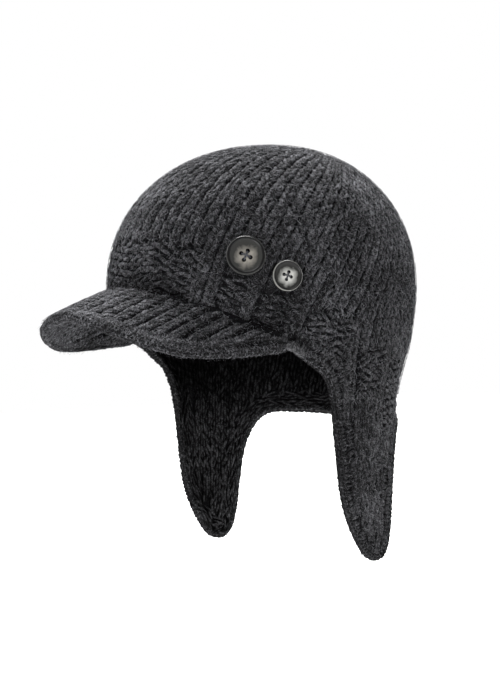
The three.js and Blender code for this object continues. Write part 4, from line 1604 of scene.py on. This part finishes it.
@dataclass
class Button:
    """A turned four-hole button, lying on the crown's stitches, with its crossed sewing thread."""

    name: str
    radius: float
    thick: float
    rim: float          # width of the raised rim
    round_: float       # its place, in degrees from the front
    height: float       # and length above the girth
    holes: float        # between the middles of neighbouring holes
    hole_radius: float
    turn: float         # of the holes round the button, degrees
    thread: float       # radius of a bundle of thread
    seat: float = FORM.wall / 2 + 0.35
    dip: float = 1.0    # how far the dished face lies under the rim
    turns: int = 96     # faces round it
    hole_sides: int = 24

    def placing(self) -> Matrix:
        """Finds the button's place on the crown, square to the wall.

        Returns:
            The place and turn, in millimetres.
        """
        a, h = np.full(1, self.round_), np.full(1, self.height)
        normal = Vector(FORM.axes(a, h)[2][0])
        level = Vector((-normal.y, normal.x, 0)).normalized()
        rise = normal.cross(level).normalized()
        place = Vector(FORM.point(a, h)[0]) + normal * self.seat
        turn = Matrix((level, rise, normal)).transposed().to_4x4()
        return Matrix.Translation(place) @ turn

    def hole_places(self) -> list[tuple[float, float]]:
        """Gives the middles of the four holes in the button's plane."""
        d = self.holes / 2 * math.sqrt(2)
        angles = [math.radians(self.turn + 45 + 90 * k) for k in range(4)]
        return [(d * math.cos(a), d * math.sin(a)) for a in angles]

    def disc(self, material: bpy.types.Material, drilled: bpy.types.Material) -> bpy.types.Object:
        """Turns the disc, drills it and places it.

        Args:
            material: its resin.
            drilled: the resin inside its holes, coloured near black as painted shade.

        Returns:
            The disc object.
        """
        r, t, rim = self.radius, self.thick, self.rim
        dish = t - self.dip
        profile = [(0, 0), (r - 1.3, 0), (r - 0.75, 0.12), (r - 0.3, 0.5), (r - 0.05, 1.0), (r, 1.4),
                   (r - 0.03, t - 0.8), (r - 0.18, t - 0.35), (r - 0.45, t - 0.08), (r - rim * 0.55, t),
                   (r - rim * 0.85, t - 0.1), (r - rim, t - 0.3), (r - rim - 0.3, dish + 0.38),
                   (r - rim - 0.7, dish + 0.26), (r * 0.6, dish + 0.08), (r * 0.4, dish - 0.02),
                   (r * 0.2, dish - 0.08), (0, dish - 0.1)]
        turns, sides = self.turns, self.hole_sides
        verts, faces = [(0, 0, profile[0][1])], []
        for x, z in profile[1:-1]:
            for k in range(turns):
                a = 2 * math.pi * k / turns
                verts.append((x * math.cos(a), x * math.sin(a), z))
        verts.append((0, 0, profile[-1][1]))
        rings = len(profile) - 2
        for k in range(turns):
            q = (k + 1) % turns
            faces.append((0, 1 + q, 1 + k))
            for i in range(rings - 1):
                a, b = 1 + i * turns, 1 + (i + 1) * turns
                faces.append((a + k, a + q, b + q, b + k))
            faces.append((1 + (rings - 1) * turns + k, 1 + (rings - 1) * turns + q, len(verts) - 1))
        disc = mesh_object(self.name, np.array(verts), faces, material)
        drills = []
        for i, (x, y) in enumerate(self.hole_places()):
            round_ = [2 * math.pi * k / sides for k in range(sides)]
            ring = [(x + self.hole_radius * math.cos(a), y + self.hole_radius * math.sin(a)) for a in round_]
            v = [(px, py, -2.0) for px, py in ring] + [(px, py, t + 2.0) for px, py in ring]
            f = [tuple(range(sides - 1, -1, -1)), tuple(range(sides, 2 * sides))]
            f += [(k, (k + 1) % sides, sides + (k + 1) % sides, sides + k) for k in range(sides)]
            drill = mesh_object(f"{self.name}_drill_{i}", np.array(v), f, None, soft=False)
            cut = disc.modifiers.new("hole", "BOOLEAN")
            cut.operation, cut.object, cut.solver = "DIFFERENCE", drill, "EXACT"
            drills.append(drill)
        made_plain(disc)
        for drill in drills:
            bpy.data.objects.remove(drill, do_unlink=True)
        co = np.empty(len(disc.data.vertices) * 3, np.float32)
        disc.data.vertices.foreach_get("co", co)
        plan = co.reshape(-1, 3) / MM
        store(disc, "face_mm", plan)
        away = np.hypot(plan[:, 0], plan[:, 1])
        store(disc, "rim", np.clip((away - (r - rim - 0.5)) / 0.4, 0, 1))
        # painted highlight along the outermost half millimetre
        store(disc, "edge", np.clip((away - (r - 0.5)) / 0.2, 0, 1))
        # painted shade: the walls of the holes are coloured near black
        disc.data.materials.append(drilled)
        for face in disc.data.polygons:
            px, py = face.center.x / MM, face.center.y / MM
            near = min(math.hypot(px - x, py - y) for x, y in self.hole_places())
            if near < self.hole_radius + 0.05 and abs(face.normal.z) < 0.5:
                face.material_index = 1
        disc.data.shade_smooth()
        self.put(disc)
        return disc

    def put(self, obj: bpy.types.Object) -> None:
        """Moves a mesh made flat at the origin to the button's place."""
        m = self.placing()
        m.translation *= MM
        obj.data.transform(m)
        obj.data.update()

    def stitching(self, material: bpy.types.Material) -> bpy.types.Object:
        """Lays the two crossing bundles of thread, each twisted from plies.

        Args:
            material: the thread's finish.

        Returns:
            The thread object.
        """
        face = self.thick - self.dip
        holes = self.hole_places()
        r = self.thread
        verts, faces = [], []
        for k in range(2):
            (ax, ay), (cx, cy) = holes[k], holes[k + 2]
            low = face + r * 0.55
            high = low + (0.0 if k == 0 else 1.3 * r)
            # up out of one hole, over the middle and down the other; shares of the hole's place, and heights
            leg = ((0.9, 0.1), (0.86, face * 0.5), (0.8, face - 0.3), (0.6, low), (0.3, high))
            g = np.array([(ax * s, ay * s, z) for s, z in leg] + [(cx * s, cy * s, z) for s, z in leg[::-1]])
            run = run_along(g)
            at = np.linspace(0, run[-1], 60)
            path = np.stack([np.interp(at, run, g[:, i]) for i in range(3)], -1)
            for _ in range(3):
                path[1:-1] = (path[:-2] + 2 * path[1:-1] + path[2:]) / 4
            tangent = unit(np.gradient(path, axis=0))
            side = unit(np.array([ay - cy, cx - ax, 0.0]))
            up = unit(np.cross(tangent, side))
            # plies of thread twist round the bundle's middle
            for ply in range(4):
                spin = at * 1.1 + ply * math.pi / 2 + k
                middle = path + (side * np.cos(spin)[:, None] + up * np.sin(spin)[:, None]) * r * 0.5
                start = len(verts)
                for i, c in enumerate(middle):
                    for q in range(8):
                        a = 2 * math.pi * q / 8
                        verts.append(c + (side * math.cos(a) + up[i] * math.sin(a)) * r * 0.5)
                for i in range(len(middle) - 1):
                    for q in range(8):
                        a, b = start + i * 8 + q, start + i * 8 + (q + 1) % 8
                        faces.append((a, b, b + 8, a + 8))
                faces.append(tuple(start + q for q in range(7, -1, -1)))
                faces.append(tuple(start + (len(middle) - 1) * 8 + q for q in range(8)))
        thread = mesh_object(f"{self.name}_stitching", np.array(verts), faces, material)
        self.put(thread)
        return thread


# Studio
@dataclass(frozen=True)
class Studio:
    """The pale floor, the soft lights and the camera at the photograph's angle."""

    azimuth: float = 50.0
    elevation: float = 2.0
    distance: float = 1.400
    pixels_per_metre: float = 1610.0
    axis_x: float = 272.0
    look_z: float = -0.119
    floor_z: float = -2.5
    floor_half: float = 30000.0   # millimetres
    glow: float = 1.75            # the paper is lit until it is pure white
    picture: tuple = (500, 691)
    sensor_mm: float = 36.0
    # name, degrees round and up, metres away and along a side, watts
    lights: tuple = (("back_above", 235, 58, 1.6, 0.9, 180), ("back_left", 300, 28, 1.6, 0.7, 30),
                     ("back_right", 165, 8, 1.6, 0.7, 25), ("above_left", 350, 62, 1.6, 0.7, 8),
                     ("above", 0, 84, 1.6, 0.9, 14), ("front_low", 15, -22, 1.6, 0.7, 14))

    def camera(self) -> None:
        """Sets up the camera for the picture's frame."""
        a, e = math.radians(self.azimuth), math.radians(self.elevation)
        right = Vector((math.cos(a), math.sin(a), 0))
        back = Vector((math.sin(a) * math.cos(e), -math.cos(a) * math.cos(e), math.sin(e)))
        up = back.cross(right)
        aside = right * (self.picture[0] / 2 - self.axis_x) / self.pixels_per_metre
        target = aside + Vector((0, 0, self.look_z))
        data = bpy.data.cameras.new("camera")
        data.sensor_fit, data.sensor_width = "AUTO", self.sensor_mm
        data.lens = self.pixels_per_metre * self.distance / self.picture[1] * self.sensor_mm
        data.clip_start, data.clip_end = 0.05, 50
        cam = bpy.data.objects.new("camera", data)
        turn = Matrix((right, up, back)).transposed().to_4x4()
        cam.matrix_world = Matrix.Translation(target + back * self.distance) @ turn
        bpy.context.scene.collection.objects.link(cam)
        bpy.context.scene.camera = cam

    def light(self, name: str, azimuth: float, elevation: float, distance: float, size: float,
              watts: float) -> None:
        """Adds one soft square light that faces the cap.

        Args:
            name: its name.
            azimuth: degrees, as for the camera.
            elevation: degrees above the horizon.
            distance: metres from the cap.
            size: metres along a side.
            watts: its power.
        """
        data = bpy.data.lights.new(name, "AREA")
        data.shape, data.size, data.energy = "SQUARE", size, watts
        a, e = math.radians(azimuth), math.radians(elevation)
        back = Vector((math.sin(a) * math.cos(e), -math.cos(a) * math.cos(e), math.sin(e)))
        lamp = bpy.data.objects.new(name, data)
        lamp.location = Vector((0, 0, -0.1)) + back * distance
        lamp.rotation_mode = "QUATERNION"
        lamp.rotation_quaternion = back.to_track_quat("Z", "Y")
        bpy.context.scene.collection.objects.link(lamp)

    def build(self) -> None:
        """Builds the whole studio."""
        self.camera()
        paper = bpy.data.materials.new("white_studio_paper")
        paper.use_nodes = True
        t = paper.node_tree
        t.nodes.clear()
        shader = add_node(t, "ShaderNodeBsdfPrincipled",
                          {"in:Base Color": linear("f4f4f4"), "in:Roughness": 0.9,
                           "in:Emission Color": linear("ffffff"), "in:Emission Strength": self.glow})
        add_node(t, "ShaderNodeOutputMaterial", None, {"Surface": shader})
        size, z = self.floor_half, self.floor_z / MM
        corners = [(-size, -size, z), (size, -size, z), (size, size, z), (-size, size, z)]
        floor = mesh_object("floor", np.array(corners), [(0, 1, 2, 3)], paper)
        view = bpy.context.scene.view_settings
        view.view_transform, view.look = "Standard", "None"
        world = bpy.data.worlds.new("studio_white")
        bpy.context.scene.world = world
        world.use_nodes = True
        world.node_tree.nodes["Background"].inputs["Color"].default_value = (1, 1, 1, 1)
        world.node_tree.nodes["Background"].inputs["Strength"].default_value = 1.0
        for light in self.lights:
            self.light(*light)


# Building it all
def main() -> None:
    """Builds the cap piece by piece and reports each one."""
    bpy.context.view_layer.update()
    # one yarn in copies whose tones paint light and shade: the crown's is darker than the peak's and takes
    # painted shade down the band
    wool = WoolFinish("brushed_chunky_wool_of_the_peak", dark="070708", middle="1f1f20",
                      pale="6e6e72").build()
    crown_wool = WoolFinish("brushed_chunky_wool_of_the_crown", dark="060607", middle="1c1c1d", pale="68686c",
                            height_shade=(-0.120, -0.060, 0.86, 1.0)).build()
    # these finishes leave out the painted shade on strand flanks and ends
    even = {"end_tone": 1.0, "gap_shade_from": -2.0, "gap_shade_to": -1.0}  # no dark flanks, where no strand is laid
    # painted shade: the core shows only through the gaps between strands, so its copy of the yarn is near
    # black, with no sheen or specular
    core_wool = WoolFinish("wool_core_in_painted_shade", dark="070708", middle="0d0d0e", pale="1c1c1d", sheen=0.0,
                           specular=0.0, **even).build()
    # painted shade inside: this copy of the yarn has no sheen or specular and darkens up into the hollow
    inner_wool = WoolFinish("brushed_wool_inside", dark="111111", middle="272728", pale="4a4a4c", sheen=0.0,
                            specular=0.0, height_shade=(-0.195, -0.122, 1.0, 0.2)).build()
    fuzz = WoolFinish("loose_wool_fibres", dark="1c1c1d", middle="424244", pale="7a7a7e", **even).build()
    strand = strand_tree()
    fibre = fibre_tree()

    def settle(obj: bpy.types.Object, slot: str, *nodes: str) -> None:
        """Hands a finished piece to the frame and reports it.

        Args:
            obj: the piece.
            slot: its material slot; not used.
            nodes: the solids that it takes the place of.
        """
        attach(obj, "root")
        if nodes:
            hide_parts(*nodes)
        obj.data.calc_loop_triangles()
        log.info("%s: %d triangles", obj.name, len(obj.data.loop_triangles))

    crown, peak = Crown(), Peak()
    core = crown.core(core_wool)
    settle(core, "wool", "crown_with_ear_flaps")
    edge_wool = WoolFinish("brushed_wool_folded_edge", dark="0c0c0d", middle="262627", pale="666668",
                           **even).build()
    settle(crown.roll("rounded_edge_of_the_cloth", edge_wool), "wool", "crown_with_ear_flaps")
    outer = crown.outer()
    crease = peak.crease()
    outer.clear_of(crease, crown.crease_room)
    heights = np.vstack(outer.place)[:, 2]
    # a lighter copy of the same yarn, painting the light the flaps get, with painted shade up towards the
    # band
    flap_wool = WoolFinish("brushed_chunky_wool_of_the_flaps", dark="0b0b0c", middle="222223", pale="606063",
                           height_shade=(-0.165, -0.112, 1.0, 0.80)).build()
    dome, flaps = heights > crown.band_top_z, heights <= crown.flaps_top_z
    for name, keep, finish in (("dome_stitches", dome, crown_wool),
                               ("band_stitches", ~dome & ~flaps, crown_wool),
                               ("flap_stitches", flaps, flap_wool)):
        piece = run_tree(outer.points(name, keep), strand, {"Material": finish, "Seed": 7})
        settle(piece, "wool", "crown_with_ear_flaps")
    lining = crown.inner()
    flaps = np.vstack(lining.place)[:, 2] <= crown.flaps_top_z
    for name, keep in (("inside_of_the_crown", ~flaps), ("inside_of_the_flaps", flaps)):
        inside = run_tree(lining.points(name, keep), strand, {
            "Material": inner_wool, "Seed": 19, "Strand Sides": 5, "Strand Rings": 4, "Bow": 0.3,
            "Turn Spread": 0.26, "Size Spread": 0.2})
        settle(inside, "wool", "crown_with_ear_flaps")

    settle(peak.core(core_wool), "wool", "peak")
    settle(peak.roll("rounded_edge_of_the_peak", edge_wool), "wool", "peak")
    piece = run_tree(peak.strands().points("peak_stitches"), strand, {"Material": wool, "Seed": 31})
    settle(piece, "wool", "peak")

    large = Button("large_button", radius=11.5, thick=3.2, rim=1.7, round_=47.2, height=17.4, holes=4.1,
                   hole_radius=1.25, turn=21.0, thread=0.6)
    small = Button("small_button", radius=9.0, thick=2.7, rim=1.1, round_=61.3, height=8.1, holes=3.2,
                   hole_radius=1.0, turn=26.0, thread=0.5)
    thread = ThreadFinish("twisted_sewing_thread").build()
    # the pale patch off each button's middle is a painted reflection, and the edge colour a painted highlight
    grey = HornFinish("smoke_grey_horn_resin", rim="080808", body="242423", pale="827e77", edge="30302f",
                      painted_reflection_centre=(0.6, -0.8), painted_reflection_reach_mm=11.5).build()
    light = HornFinish("silver_grey_horn_resin", rim="101010", body="1c1c1b", pale="b4b4b0", edge="6c6c69",
                       painted_reflection_centre=(0.4, -0.6), painted_reflection_reach_mm=9.5).build()
    # painted shade: near black for the walls of the holes
    drilled = HornFinish("painted_shade_in_the_button_holes", rim="030303", body="030303", pale="060606",
                         edge="030303").build()
    for button, finish, node, slot in ((large, grey, "button_large", "horn_grey"),
                                       (small, light, "button_small", "horn_light")):
        settle(button.disc(finish, drilled), slot, node)
        settle(button.stitching(thread), "thread", f"{node}_thread")

    # the sheet under the fibres, how many grow on a square millimetre, their length and their wool
    beds = [(crown.bed("fibres_on_top_of_the_dome", 2.45, 44, 72), 0.10, 2.8, fuzz),
            (crown.bed("fibres_round_the_dome", 2.45, 24, 44), 0.10, 2.8, fuzz),
            (crown.bed("fibres_on_the_band", 2.45, 12, 24), 0.10, 2.8, fuzz),
            (crown.bed("fibres_on_the_flaps", 2.45, 0, 12), 0.10, 2.8, fuzz),
            (peak.bed("fibres_on_the_peak", 1), 0.12, 2.6, fuzz),
            (peak.bed("fibres_under_the_peak", -1), 0.12, 2.6, fuzz),
            (crown.roll("fibres_on_the_edge", None, 2.0), 0.09, 1.7, fuzz),
            (peak.roll("fibres_on_the_edge_of_the_peak", None, 0.4), 0.09, 1.7, fuzz),
            (crown.bed("fibres_inside", -2.35, 0, 24), 0.05, 2.8, inner_wool)]
    amount = FIBRES_FULL
    for k, (sheet, per_mm2, length, finish) in enumerate(beds):
        # the seam of the peak is drawn in tight, so no fibres stand in its crease
        away, _ = nearest(crease, np.array([v.co for v in sheet.data.vertices]) / MM)
        store(sheet, "fluffy", smooth(((away - 0.8) / 2.4).clip(0, 1)))
        values = {"Material": finish, "Density": per_mm2 * 1e6 * amount, "Length": length * MM, "Seed": 5 + k}
        settle(run_tree(sheet, fibre, values), "wool")

    Studio().build()


if __name__ == "__main__":
    logging.basicConfig(level=logging.INFO, format="%(name)s %(message)s")
    main()
